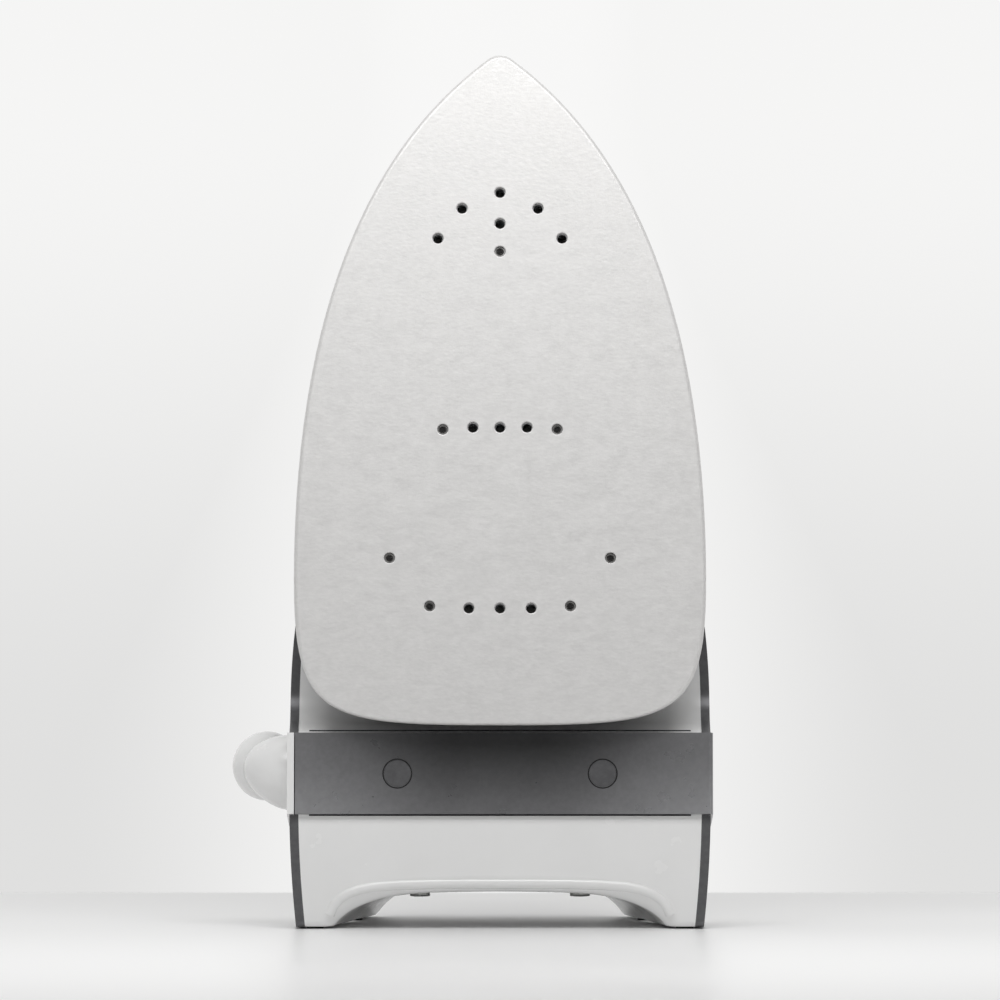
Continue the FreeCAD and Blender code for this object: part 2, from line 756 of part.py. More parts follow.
def make_body_shell():
    wall = size.tank_wall
    gap = size.body_gap
    low = size.skirt_back + gap
    roof = size.body_back - size.saddle_thickness - size.linkage_space
    outer = [(low, size.shell_start + gap, 0), (roof, size.shell_start + gap, 0),
             (roof, size.tank_start - gap, 0), (low, size.tank_start - gap, 0)]
    inner = [(low + wall, size.shell_start - 5, 0), (roof + 5, size.shell_start - 5, 0),
             (roof + 5, size.tank_start + 5, 0), (low + wall, size.tank_start + 5, 0)]
    shell = body_form("shell_outer", outer)
    hollow = body_form("shell_inner", inner, wall)
    access = block("shell_access", (50, 20, 44), (0, "skirt_back - 5", "shell_start + 6"))
    piece("body_shell", cut("shell_hollow", shell, [hollow, access]))


def tank_side(shrink=0.0):
    """The tank from the side: under the saddle's linkage space and inside the hood."""
    low = size.skirt_back + size.body_gap
    skin = size.saddle_thickness + size.linkage_space
    roof = size.body_back - skin
    depth, along = on_slope(0, -skin)
    lower_depth, lower_along = on_slope(60, -skin)
    share = (roof - depth) / (lower_depth - depth)
    slope_top = along + (lower_along - along) * share
    share = (low - depth) / (lower_depth - depth)
    slope_foot = along + (lower_along - along) * share
    corners = [(low, size.tank_start, 0), (roof, size.tank_start, 0), (roof, slope_top, 6),
               (low, slope_foot, 0)]
    return inset(corners, shrink) if shrink else corners


def make_tank():
    wall = size.tank_wall
    shell = body_form("tank_outer", tank_side())
    hollow = body_form("tank_inner", tank_side(wall), wall)
    valve = cylinder("tank_valve_hole", "valve_radius + running_gap", "body_back",
                     (0, "skirt_back - 2", "valve_place"))
    neck = slope_bar("tank_neck_hole", "neck_bore + neck_wall + running_gap", "neck_length + 6",
                     NECK_PLACE, 0)
    dips = [cylinder("tank_dip_hole_%d" % n, "dip_radius + running_gap", 12,
                     ("%d * button_spacing / 2" % side, "body_back - 10", "button_place"))
            for n, side in enumerate((-1, 1))]
    nozzle = cylinder("tank_nozzle_hole", "nozzle_radius + running_gap", 40,
                      (0, "nozzle_depth", "sole_length - nozzle_setback - nozzle_length"), "z")
    piece("water_tank", cut("tank_hollow", shell, [hollow, valve, neck, nozzle] + dips))


def saddle_edge(edge, box):
    """Long edges of the saddle and the hood."""
    along_side = box.ZLength > 5 and box.YMax > size.skirt_back + 2
    return along_side and (box.YMin > size.body_back - 0.1 or box.YLength > 5 and not upright(edge))


def upright(edge):
    """Whether an edge rises straight from the skirt to the saddle."""
    start, end = edge.Vertexes[0].Point, edge.Vertexes[-1].Point
    upright = abs(start.x - end.x) < 0.01 and abs(start.z - end.z) < 0.01
    return upright or min(start.y, end.y) < size.skirt_back + 2


def make_saddle():
    """Top cover of the body: saddle plate, hood and the recess for the flap."""
    skin = size.saddle_thickness
    outer = body_form("saddle_outer", hood_side())
    outer = soften("saddle_soft", outer, saddle_edge, size.saddle_rounding)
    below = [(-60, size.shell_start - 40, 0), (size.body_back, size.shell_start - 40, 0),
             (size.body_back, HOOD_START, 10), (size.hood_end_depth, HOOD_END, 0),
             (size.hood_end_depth - 60, HOOD_END + 60 / -slope_frame()[1].x * slope_frame()[1].y, 0)]
    under = prism("saddle_under", "YZ", rounded(inset(below, skin + size.linkage_space - 0.2)),
                  "2 * body_half_width + 20", symmetric=True)
    hollow = body_form("saddle_hollow", inset(below, skin), size.tank_wall)
    recess = slope_block("flap_recess", "flap_width + 2 * flap_gap", "flap_length + flap_gap", "flap_thickness + 5",
                         size.flap_start, -size.flap_thickness - size.flap_gap)
    notch = slope_block("flap_notch", "flap_lip_width + 2 * flap_gap", 5, 8, FLAP_END,
                        -size.flap_thickness - size.flap_gap)
    depth, along = on_slope(size.flap_start, -PIN_DEPTH)
    trough = cylinder("flap_trough", "flap_pin_radius + 0.9 + flap_gap", "flap_width + 2 * flap_gap",
                      ("-flap_width / 2 - flap_gap", depth, along), "x")
    mouth = slope_block("flap_mouth", "flap_width + 2 * flap_gap", "flap_pin_radius + 1.3 + flap_gap", 8,
                        size.flap_start - size.flap_pin_radius - 1.3 - size.flap_gap, -PIN_DEPTH)
    pin_hole = cylinder("flap_pin_hole", "flap_pin_radius + seat_gap", "flap_width + 2 * flap_gap + 3",
                        ("-flap_width / 2 - flap_gap - 1.5", depth, along), "x")
    neck = slope_bar("saddle_neck_hole", "neck_bore + neck_wall + seat_gap", 14, NECK_PLACE, 4)
    shaft = cylinder("saddle_shaft_hole", "shaft_radius + 0.6", 12, (0, "body_back - 8", "dial_place"))
    slot = block("slider_slot", ("2 * slider_travel + 5", 12, 5), (0, "body_back - 8", "slider_place - 2.5"))
    dips = [cylinder("saddle_dip_hole_%d" % n, "dip_radius + seat_gap", 12,
                     ("%d * button_spacing / 2" % side, "body_back - 8", "button_place"))
            for n, side in enumerate((-1, 1))]
    nozzle = cylinder("saddle_nozzle_hole", "nozzle_radius + seat_gap", 60,
                      (0, "nozzle_depth", "sole_length - nozzle_setback - nozzle_length"), "z")
    piece("saddle_cover", cut("saddle_cut", outer, [under, hollow, recess, notch, trough, mouth, pin_hole,
                                            neck, shaft, slot, nozzle] + dips))
    bezel = [Part.Circle(Vector(0, size.dial_place, 0), Vector(0, 0, 1), r)
             for r in (size.dial_radius + size.bezel_width, size.dial_radius + 0.4)]
    piece("dial_bezel", prism("dial_bezel", "XZ", bezel, "bezel_height", "body_back"))


def make_filler():
    outer = slope_bar("neck_outer", "neck_bore + neck_wall", "neck_length", NECK_PLACE,
                      -size.flap_thickness - size.flap_gap)
    bore = slope_bar("neck_hole", "neck_bore", "neck_length + 4", NECK_PLACE, 0)
    piece("filler_neck", cut("neck_tube", outer, [bore]))
    hinge = size.flap_start
    lid = slope_block("flap_lid", "flap_width", "flap_length", "flap_thickness", hinge,
                      -size.flap_thickness)
    depth, along = on_slope(hinge, -PIN_DEPTH)
    barrel = cylinder("flap_barrel", "flap_pin_radius + 0.9", "flap_width", ("-flap_width / 2", depth, along), "x")
    bore = cylinder("flap_bore", "flap_pin_radius + seat_gap", "flap_width + 2",
                    ("-flap_width / 2 - 1", depth, along), "x")
    seal = slope_bar("flap_plug", "neck_bore - 0.4", "flap_plug_length", NECK_PLACE, -size.flap_thickness)
    lip = slope_block("flap_lip", "flap_lip_width", 2.2, 1.2, FLAP_END - 0.3, -1.2)
    piece("filler_flap", cut("flap_drilled", fuse("flap_solid", [lid, barrel, seal, lip]), [bore]))
    pin = cylinder("flap_pin_bar", "flap_pin_radius", "flap_width + 2 * flap_gap + 3",
                   ("-flap_width / 2 - flap_gap - 1.5", depth, along), "x")
    piece("flap_pin", pin)


def make_nozzle():
    barrel = cylinder("nozzle_barrel", "nozzle_radius", "nozzle_length",
                      (0, "nozzle_depth", "sole_length - nozzle_setback - nozzle_length"), "z")
    tip = cone("nozzle_tip", "nozzle_radius", "nozzle_radius * 0.6", 2,
               (0, "nozzle_depth", "sole_length - nozzle_setback"), "z")
    bore = cylinder("nozzle_jet", "nozzle_bore", "nozzle_length + 4",
                    (0, "nozzle_depth", "sole_length - nozzle_setback - nozzle_length / 2"), "z")
    piece("spray_nozzle", cut("nozzle_drilled", fuse("nozzle_solid", [barrel, tip]), [bore]))


# ---------------------------------------------------------------- temperature dial and steam control

def make_dial():
    low = "body_back + dial_lift"
    disc = prism("dial_disc", "XZ", [Part.Circle(Vector(0, size.dial_place, 0), Vector(0, 0, 1),
                                                 size.dial_radius)], "dial_height", low)
    round_edges(disc, lambda edge, box: box.YMin > size.body_back + size.dial_height - 1, 1.6)
    flutes = []
    for number in range(int(size.dial_flutes)):
        angle = 2 * math.pi * number / size.dial_flutes
        across = (size.dial_radius + 0.7) * math.cos(angle)
        along = size.dial_place + (size.dial_radius + 0.7) * math.sin(angle)
        flutes.append(Part.Circle(Vector(across, along, 0), Vector(0, 0, 1), 1.1))
    pocket(disc, sketch(disc, "XZ", flutes, "body_back"), "dial_height + 5")
    pocket(disc, sketch(disc, "XZ", rectangle(-1, size.dial_place + 9, 2, 9),
                        "body_back + dial_lift + dial_height - 0.8"), "3")
    piece("temperature_dial", disc)
    shaft = cylinder("dial_shaft_bar", "shaft_radius", "body_back + dial_lift - thermostat_back",
                     (0, "thermostat_back", "dial_place"))
    piece("dial_shaft", shaft)


def make_steam_control():
    low = "body_back + 0.3"
    knob = block("slider_knob", ("slider_width", "slider_height", "slider_length"),
                 (0, low, "slider_place - slider_length / 2"))
    knob = soften("slider_soft", knob, lambda edge, box: box.YMin > size.body_back + size.slider_height, 1.4)
    stem = block("slider_stem", (4.4, "saddle_thickness + 2.3", 4.4),
                 (0, "body_back - saddle_thickness - 2", "slider_place - 2.2"))
    piece("steam_slider", fuse("slider_solid", [knob, stem]))
    level = "body_back - saddle_thickness - linkage_space + 0.3"
    bar = block("link_bar", (9, 1.6, "valve_place - slider_place + 3"), (0, level, "slider_place - 3"))
    plate = block("link_cam", ("2 * slider_travel + 10", 1.6, 8), (0, level, "valve_place - 4"))
    socket = block("link_socket", (4.5, 6, 4.5), (0, "body_back - 10", "slider_place - 2.25"))
    slot = block("link_cam_slot", ("2 * slider_travel + 4", 6, "2 * needle_radius + 0.4"),
                 (0, "body_back - 10", "valve_place - needle_radius - 0.2"))
    piece("steam_link", cut("link_cut", fuse("link_solid", [bar, plate]), [socket, slot]))
    housing = cylinder("valve_barrel", "valve_radius",
                       "body_back - saddle_thickness - linkage_space - casting_back - gasket_thickness"
                       " - cover_thickness",
                       (0, "casting_back + gasket_thickness + cover_thickness", "valve_place"))
    bore = cylinder("valve_chamber", "valve_bore", 60, (0, "casting_back + 6", "valve_place"))
    seat = cylinder("valve_seat", "needle_radius + running_gap", 20, (0, "casting_back", "valve_place"))
    port = cylinder("valve_port", 1.5, 20, (-10, "skirt_back + 5", "valve_place"), "x")
    piece("drip_valve", cut("valve_drilled", housing, [bore, seat, port]))
    needle = cylinder("needle_bar", "needle_radius", "body_back - saddle_thickness - linkage_space - casting_back - 3",
                      (0, "casting_back + 4", "valve_place"))
    head = cylinder("needle_head", 2.6, 1.6,
                    (0, "body_back - saddle_thickness - linkage_space - needle_lift - 2.6", "valve_place"))
    piece("steam_needle", fuse("needle_solid", [needle, head]))


# ---------------------------------------------------------------- heel

BELOW = -80      # under the floor, where outlines that cut the whole heel start
ABOVE = 220      # over the nose
BOW_TOP = -22    # where the heel's sides run straight


def heel_bow(along):
    """Half-width of the heel between the floor and the band, a shallow arc."""
    rise = size.foot_taper
    run = BOW_TOP + size.heel_reach
    radius = (rise ** 2 + run ** 2) / (2 * rise)
    return size.heel_half_width - radius + math.sqrt(radius ** 2 - (along - BOW_TOP) ** 2)


def heel_plan(shrink=0.0):
    """The heel seen on the sole: bowed sides that draw in towards the body."""
    half = size.heel_half_width - shrink
    end = size.shell_start + 20
    middle = (BELOW + BOW_TOP) / 2
    return mirrored([
        ((0, BELOW), (heel_bow(BELOW) - shrink, BELOW)),
        ((heel_bow(BELOW) - shrink, BELOW), (heel_bow(middle) - shrink, middle), (half, BOW_TOP)),
        ((half, BOW_TOP), (half, 8)),
        ((half, 8), (half, 30), (half - 3, end - 15), (half - 6, end)),
        ((half - 6, end), (0, end)),
    ])


def heel_section(shrink=0.0):
    """The heel seen along the iron: upright sides that lean in towards the saddle."""
    half = size.heel_half_width + 0.5 - shrink
    top = size.body_back + 2
    return mirrored([
        ((0, -5), (half, -5)),
        ((half, -5), (half, 14)),
        ((half, 14), (half, 36), (half - 2.4, top - 12), (half - 6, top)),
        ((half - 6, top), (0, top)),
    ])


def heel_side():
    """The heel seen from its side, as (height, along) corners."""
    return [(size.foot_front, base(size.foot_front), 0),
            (size.body_back, base(size.body_back), 0),
            (size.body_back, size.shell_start, 0),
            (size.cove_depth, size.shell_start, 0),
            (size.cove_depth, size.cove_start + 7.5, size.cove_radius),
            (size.heel_front, size.cove_start, 1),
            (size.heel_front, size.band_top - size.band_height - 2, 10)]


def heel_form(name, side, shrink=0.0):
    """The styled heel, or the same form drawn in at its sides."""
    return common(name, [
        prism(name + "_side", "YZ", rounded(side), "2 * heel_half_width + 10", symmetric=True),
        prism(name + "_plan", "XZ", heel_plan(shrink), "body_back + 20", "-10"),
        prism(name + "_section", "XY", heel_section(shrink), "200", "-100")])


def arch_outline(half, start):
    """Low arch between the feet, drawn from its half-width and the floor under it."""
    rise = size.arch_height
    side = [((0, start - 5), (half, start - 5)), ((half, start - 5), (half, start)),
            ((half, start), (half * 0.94, start + rise * 0.5),
             (half * 0.75, start + rise * 0.93), (half * 0.4, start + rise * 0.97))]
    crown = curve((half * 0.4, start + rise * 0.97), (half * 0.05, start + rise * 1.01),
                  (-half * 0.05, start + rise * 1.01), (-half * 0.4, start + rise * 0.97))
    return mirrored(side) + [crown]


def arch_form(name):
    """The tunnel under the heel, narrowing from the front feet to the rear feet."""
    body = new_body(name)
    narrowing = (ARCH_HALF - ARCH_REAR_HALF) / (size.foot_rear - size.foot_front)
    sections = []
    for depth in (size.heel_front - 5, size.foot_rear + 20):
        half = ARCH_HALF - (depth - size.foot_front) * narrowing
        sections.append(sketch(body, "XZ", arch_outline(half, ground(depth)), depth))
    loft = body.newObject("PartDesign::AdditiveLoft", name + "_loft")
    loft.Profile = sections[0]
    loft.Sections = sections[1:]
    return body


def arch_edge(edge, box):
    """Where the arch meets the heel's front face."""
    inside = abs(box.XMin) < ARCH_HALF + 1.5 and abs(box.XMax) < ARCH_HALF + 1.5
    return inside and box.YMax < size.foot_front + 3 and box.ZMax < ground(0) + size.arch_height + 6


def heel_top_edge(edge, box):
    """Side edges of the heel along the saddle, clear of the handle's root."""
    return box.YMin > size.body_back - 0.1 and box.ZLength > 3


def foot_edge(edge, box):
    """Front edges of the base."""
    return box.ZMax < base(size.foot_front) + 0.3 and box.YMax < size.foot_front + 0.3


def side_channel(name, gap):
    """Where the band's leg and the outlet plate lie in the cheeks."""
    width = 10
    blocks = []
    for number, side in enumerate((-1, 1)):
        blocks.append(block("%s_%d" % (name, number),
                            (width, "band_side_reach + 20 + %s" % gap, "band_height + 2 * %s" % gap),
                            ("%d * (outlet_reach - plate_thickness - %s + %d / 2)" % (side, gap, width),
                             -20, "band_top - band_height - %s" % gap)))
    return blocks


def make_heel():
    form = heel_form("heel_form", heel_side())
    inner = heel_form("heel_inner", heel_side_wide(), size.cheek_thickness)
    form = soften("heel_saddle_soft", form, heel_top_edge, size.saddle_rounding)
    open_form = cut("heel_arched", form, [arch_form("heel_arch")])
    soft = soften("heel_arch_soft", open_form, arch_edge, size.arch_rounding)
    soft = soften("heel_foot_soft", soft, foot_edge, size.foot_rounding)
    zone = prism("cheek_zone", "YZ", rounded(cheek_side()), "2 * heel_half_width + 20", symmetric=True)
    frame = cut("cheek_frame", zone, [inner])
    channel = side_channel("cheek_channel", "seat_gap * 3")
    seat = ball_seat("cheek_ball_seat")
    for name, side in (("left_cheek", -1), ("right_cheek", 1)):
        half = block(name + "_half", (100, 200, 300), (side * 50, -20, -150))
        tools = channel + ([seat] if side < 0 else [])
        piece(name, cut(name + "_cut", common(name + "_slab", [soft, frame, half]), tools))
    core = cut("heel_core", soft, [frame])
    wall = size.heel_wall
    low = ground(size.foot_front) + size.arch_height + 5
    hollow_side = [(size.foot_front + wall, low, 0), (size.body_back - wall, low + 6, 0),
                   (size.body_back - wall, size.shell_start - wall, 0),
                   (size.cove_depth + wall, size.shell_start - wall, 0),
                   (size.cove_depth + wall, size.cove_start + 6, size.cove_radius),
                   (size.heel_front + wall, size.cove_start - wall, 1),
                   (size.heel_front + wall, size.band_top - size.band_height, 0)]
    hollow = heel_form("heel_hollow", hollow_side, size.cheek_thickness + wall)
    tail = cylinder("heel_tail_passage", 12, 12, (0, "body_back - 6", 0))
    front = cylinder("heel_front_passage", 12, 12, (0, 42, "shell_start - 6"), "z")
    holes = []
    for number, side in enumerate((-1, 1)):
        at = ("%d * plug_spacing / 2" % side, "heel_front - 2", "band_top - band_height / 2")
        holes.append(cylinder("band_screw_hole_%d" % number, "band_screw_radius + seat_gap", 16, at))
        holes.append(cylinder("band_screw_seat_%d" % number, "band_screw_head + 0.2", 3.3, at))
    pins = [cylinder("heel_pin_passage_%d" % n, "element_radius + 1.2", 20, (side * 30, "cove_depth - 10", 16))
            for n, side in enumerate((-1, 1))]
    upper = block("heel_upper_half", (200, 200, 100), (0, -20, "heel_joint"))
    lower = block("heel_lower_half", (200, 200, 100), (0, -20, "heel_joint - 100"))
    core_seat = ball_seat("heel_ball_seat")
    piece("heel_body", cut("heel_body_cut", common("heel_body_block", [core, upper]),
                           [hollow, tail, front, core_seat] + holes + pins))
    depth = size.foot_front + 20
    top = ground(depth) + size.arch_height - 0.3
    screw_holes, made = [], []
    for number, side in enumerate((-1, 1), start=1):
        name = "heel_screw_%d_" % number
        across = side * 24
        screw_holes.append(cylinder(name + "hole", 1.55, 14, (across, depth, top - 4), "z"))
        screw_holes.append(cylinder(name + "seat", 3.2, 6, (across, depth, top - 6), "z"))
        head = cylinder(name + "head", 3, 1.6, (across, depth, top - 1.6), "z")
        shank = cylinder(name + "shank", 1.5, 9.5, (across, depth, top - 0.8), "z")
        drive = block(name + "drive", (1, 4.4, 1), (across, depth - 2.2, top - 1.6))
        made.append(cut(name + "body", fuse(name + "blank", [head, shank]), [drive]))
    piece("heel_foot", cut("heel_foot_cut", common("heel_foot_block", [core, lower]),
                           [hollow, core_seat] + holes + screw_holes
                           + foot_pads("heel_pad_seat", size.seat_gap)))
    piece("heel_screws", group("heel_screws", made))


def heel_side_wide():
    """The heel's side outline, generous all round: only the sides of the inner form matter."""
    return [(-30, BELOW, 0), (size.body_back + 30, BELOW, 0), (size.body_back + 30, ABOVE, 0), (-30, ABOVE, 0)]


def cheek_side():
    """Side outline of the cheeks: a plate that leaves a pale rim under the handle."""
    return [(-20, BELOW, 0), (58, BELOW, 0), (58, -12, 60), (50, size.shell_start + 2, 0),
            (-20, size.shell_start + 2, 0)]


def ball_seat(name):
    """Room for the cord ball in the heel's left side."""
    return sphere(name, "ball_radius + ball_gap", ("-outlet_reach - ball_out", "ball_depth", "ball_place"))


# ---------------------------------------------------------------- band, outlet plate and cord ball

def make_band():
    inside = size.heel_front - size.band_standoff
    face = inside - size.band_thickness
    reach = size.outlet_reach
    leg = reach - size.plate_thickness
    left = -(reach - size.plate_thickness - 0.3)
    outline = rounded([(left, face, 0), (reach, face, 1.2), (reach, size.band_side_reach, 0),
                       (leg, size.band_side_reach, 0), (leg, inside, 0), (left, inside, 0)])
    band = prism("heel_band", "XY", outline, "band_height", "band_top - band_height")
    places = [(side * size.plug_spacing / 2, size.band_top - size.band_height / 2) for side in (-1, 1)]
    drill(band, places, "plug_radius + seat_gap")
    piece("heel_band", band)
    plugs, made = [], []
    for number, (across, along) in enumerate(places, start=1):
        name = "plug_%d" % number
        plugs.append(cylinder(name, "plug_radius", "band_thickness - plug_recess + band_standoff - 0.1",
                              (across, face + size.plug_recess, along)))
        head = cylinder(name + "_screw_head", "band_screw_head", 1.2, (across, "heel_front", along))
        shank = cylinder(name + "_screw_shank", "band_screw_radius", 12, (across, "heel_front", along))
        made.append(fuse(name + "_screw", [head, shank]))
    piece("screw_covers", group("screw_covers", plugs))
    piece("band_screws", group("band_screws", made))


def make_outlet():
    plate = block("outlet_plate", ("plate_thickness", "band_side_reach - heel_front + band_thickness"
                                   " + band_standoff", "band_height"),
                  ("-outlet_reach + plate_thickness / 2", "heel_front - band_thickness - band_standoff",
                   "band_top - band_height"))
    piece("cord_outlet_plate", cut("outlet_plate_cut", plate, [ball_seat("plate_ball_seat")]))
    radius = size.hood_radius
    height = size.hood_height
    outline = [Part.LineSegment(Vector(0, -8, 0), Vector(radius, -8, 0)),
               Part.LineSegment(Vector(radius, -8, 0), Vector(radius, 0, 0)),
               curve((radius, 0), (radius * 0.93, height * 0.4), (radius * 0.6, height), (0, height)),
               Part.LineSegment(Vector(0, height, 0), Vector(0, -8, 0))]
    towards = Vector(-math.cos(math.radians(size.hood_tilt)), 0, math.sin(math.radians(size.hood_tilt)))
    dome = spun("hood_dome", outline, ("-outlet_reach", "hood_depth", "hood_place"),
                Rotation(Vector(0, 0, 1), towards))
    outside = block("hood_outside", (40, 100, 80), ("-outlet_reach - 20", -20, -50))
    mouth = block("hood_mouth", (60, 60, 80), ("-outlet_reach - 20", "ball_depth + 1", -50))
    piece("cord_hood", cut("hood_open", common("hood_block", [dome, outside]),
                           [mouth, ball_seat("hood_ball_seat")]))
    centre = ("-outlet_reach - ball_out", "ball_depth", "ball_place")
    low = "ball_place - collar_radius"
    cross = cylinder("collar_cross", "collar_radius", "2 * collar_radius",
                     ("-outlet_reach - ball_out", "ball_depth", low), "z")
    trunnion = cylinder("collar_trunnion", "trunnion_radius", "2 * collar_radius + 4",
                        ("-outlet_reach - ball_out", "ball_depth", low + " - 2"), "z")
    collar = cylinder("collar_bar", "collar_radius", "collar_length", centre)
    bore = cylinder("collar_bore", "cord_bore", "cord_bore_depth + 5",
                    ("-outlet_reach - ball_out", "ball_depth + collar_length - cord_bore_depth", "ball_place"))
    piece("cord_collar", cut("collar_cut", fuse("collar_solid", [cross, trunnion, collar]), [bore]))
    ball = sphere("ball_body", "ball_radius", centre)
    low = "ball_place - collar_radius - ball_gap"
    socket = cylinder("ball_socket", "collar_radius + ball_gap", "2 * (collar_radius + ball_gap)",
                      ("-outlet_reach - ball_out", "ball_depth", low), "z")
    holes = cylinder("ball_trunnion_holes", "trunnion_radius + 0.08", "2 * collar_radius + 4.4",
                     ("-outlet_reach - ball_out", "ball_depth", "ball_place - collar_radius - 2.2"), "z")
    slot = block("ball_slot", ("collar_radius + ball_gap + 20", 30, "2 * (collar_radius + ball_gap)"),
                 ("-outlet_reach - ball_out + (collar_radius + ball_gap - 20) / 2", "ball_depth", low))
    swing = math.radians(size.swing_limit)
    limit = cylinder("ball_swing_end", "collar_radius + ball_gap", 20, centre)
    limit.Placement = Placement(limit.Placement.Base,
                                Rotation(Vector(0, 0, 1), Vector(-math.sin(swing), math.cos(swing), 0)))
    piece("cord_ball", cut("ball_cut", ball, [socket, holes, slot, limit]))


# ---------------------------------------------------------------- handle

def handle_side():
    """The handle seen from its side, as (height, along) corners: root, grip and front pillar."""
    rear = size.foot_rear
    top = size.handle_top
    under = HANDLE_UNDER
    return [(size.body_back, base(size.body_back), 0),
            (rear, base(rear), 9),
            (rear + 15.5, -22, 60),
            (top, 45, 160),
            (top, size.handle_nose - 42, 60),
            (top - 9, size.handle_nose, 12),
            (under + 5, size.handle_nose - 3, 11),
            (under - 2, size.pillar_front - 5, 14),
            (size.body_back, size.pillar_front, 0),
            (size.body_back, size.grip_front + 4, 0),
            (under, size.grip_front, size.grip_rounding),
            (under, size.grip_rear, size.grip_rounding),
            (size.body_back, size.grip_rear + 8, 0)]


def handle_plan(shrink=0.0):
    """The handle seen on the sole: a broad root that narrows to the grip."""
    half = size.handle_half_width - shrink
    root = size.spine_half_width - shrink
    return mirrored([
        ((0, BELOW), (root, BELOW)),
        ((root, BELOW), (root, -50)),
        ((root, -50), (root, -12), (half, -8), (half, 38)),
        ((half, 38), (half, ABOVE)),
        ((half, ABOVE), (0, ABOVE)),
    ])


def handle_edge(edge, box):
    """Long edges of the handle, without its joints to the body and its base."""
    across = box.YLength < 0.01 and box.ZLength < 0.01
    upright = box.XLength < 0.01 and box.ZLength < 0.01
    joint = box.YMax < size.body_back + 0.1
    at_base = box.ZMax < base(box.YMax) + 0.4
    return not (across or upright or joint or at_base)


def button_outline(side, grow=0.0):
    """A pill-shaped button seen from above."""
    width = size.button_width + 2 * grow
    length = size.button_length + 2 * grow
    left = side * size.button_spacing / 2 - width / 2
    low = size.button_place - length / 2
    corners = [(left, low), (left + width, low), (left + width, low + length), (left, low + length)]
    return rounded([(a, b, width / 2 - 0.6) for a, b in corners])


def make_handle():
    form = common("handle_block", [
        prism("handle_profile", "YZ", rounded(handle_side()), "2 * spine_half_width + 20", symmetric=True),
        prism("handle_width", "XZ", handle_plan(), "handle_top", "body_back - 10")])
    form = soften("handle_form", form, handle_edge, size.handle_rounding)
    floor = size.arch_height + 5
    hollow_side = inset(handle_side(), size.cover_depth + size.handle_wall)
    hollow_side[:3] = [(size.body_back + size.handle_wall, ground(size.body_back) + floor, 0),
                       (hollow_side[1][0], ground(size.foot_rear) + floor, 3),
                       (hollow_side[2][0], hollow_side[2][1], 10)]
    hollow = common("handle_hollow", [
        prism("hollow_profile", "YZ", rounded(hollow_side), "2 * spine_half_width", symmetric=True),
        prism("hollow_width", "XZ", handle_plan(size.handle_wall + 1.6), "handle_top", "body_back - 10")])
    top = size.handle_top - size.cover_depth
    cover_side = [(size.foot_rear + 4, -38, 0), (size.handle_top + 20, -38, 0),
                  (size.handle_top + 20, size.handle_nose + 20, 0),
                  (top, size.handle_nose - 26, 0), (top, 45, 160), (size.foot_rear + 10.5, -22, 60)]
    cover_zone = prism("cover_zone", "YZ", rounded(cover_side), "2 * spine_half_width", symmetric=True)
    pad_low = HANDLE_UNDER - 2
    pad_side = [(pad_low, size.grip_rear + 14, 0), (HANDLE_UNDER + size.grip_pad_depth, size.grip_rear + 14, 2),
                (HANDLE_UNDER + size.grip_pad_depth, size.grip_front - 14, 2),
                (pad_low, size.grip_front - 14, 0)]
    pad_zone = prism("grip_zone", "YZ", rounded(pad_side), "2 * spine_half_width", symmetric=True)
    wells = [prism("button_well_%d" % n, "XZ", button_outline(side, size.button_gap), 40, "handle_top - 20")
             for n, side in enumerate((-1, 1))]
    lamp = cylinder("lamp_well", "lamp_radius + seat_gap", 40, (0, "handle_top - 20", "lamp_place"))
    arch = arch_form("handle_arch")
    tail = cylinder("handle_tail_passage", 12, 20, (0, "body_back - 6", 0))
    dips = [cylinder("handle_dip_hole_%d" % n, "dip_radius + seat_gap", 20,
                     ("%d * button_spacing / 2" % side, "body_back - 8", "button_place"))
            for n, side in enumerate((-1, 1))]
    piece("handle_frame", cut("handle_cut", form,
                              [cover_zone, pad_zone, hollow, arch, tail, lamp] + wells + dips
                              + foot_pads("handle_pad_seat", size.seat_gap)))
    cover = common("cover_block", [form, cover_zone])
    cover_wells = [prism("cover_well_%d" % n, "XZ", button_outline(side, size.button_gap), 40,
                         "handle_top - 20") for n, side in enumerate((-1, 1))]
    cover_lamp = cylinder("cover_lamp_well", "lamp_radius + seat_gap", 40, (0, "handle_top - 20", "lamp_place"))
    piece("handle_cover", cut("cover_cut", cover, [cover_lamp] + cover_wells))
    piece("grip_pad", common("grip_block", [form, pad_zone]))


# ---------------------------------------------------------------- buttons, pumps and lamp

HOLLOW_MARGIN = size.cover_depth + size.handle_wall       # handle's outside to its hollow
PUMP_START = "body_back + cover_depth + handle_wall"      # floor of the pillar's hollow


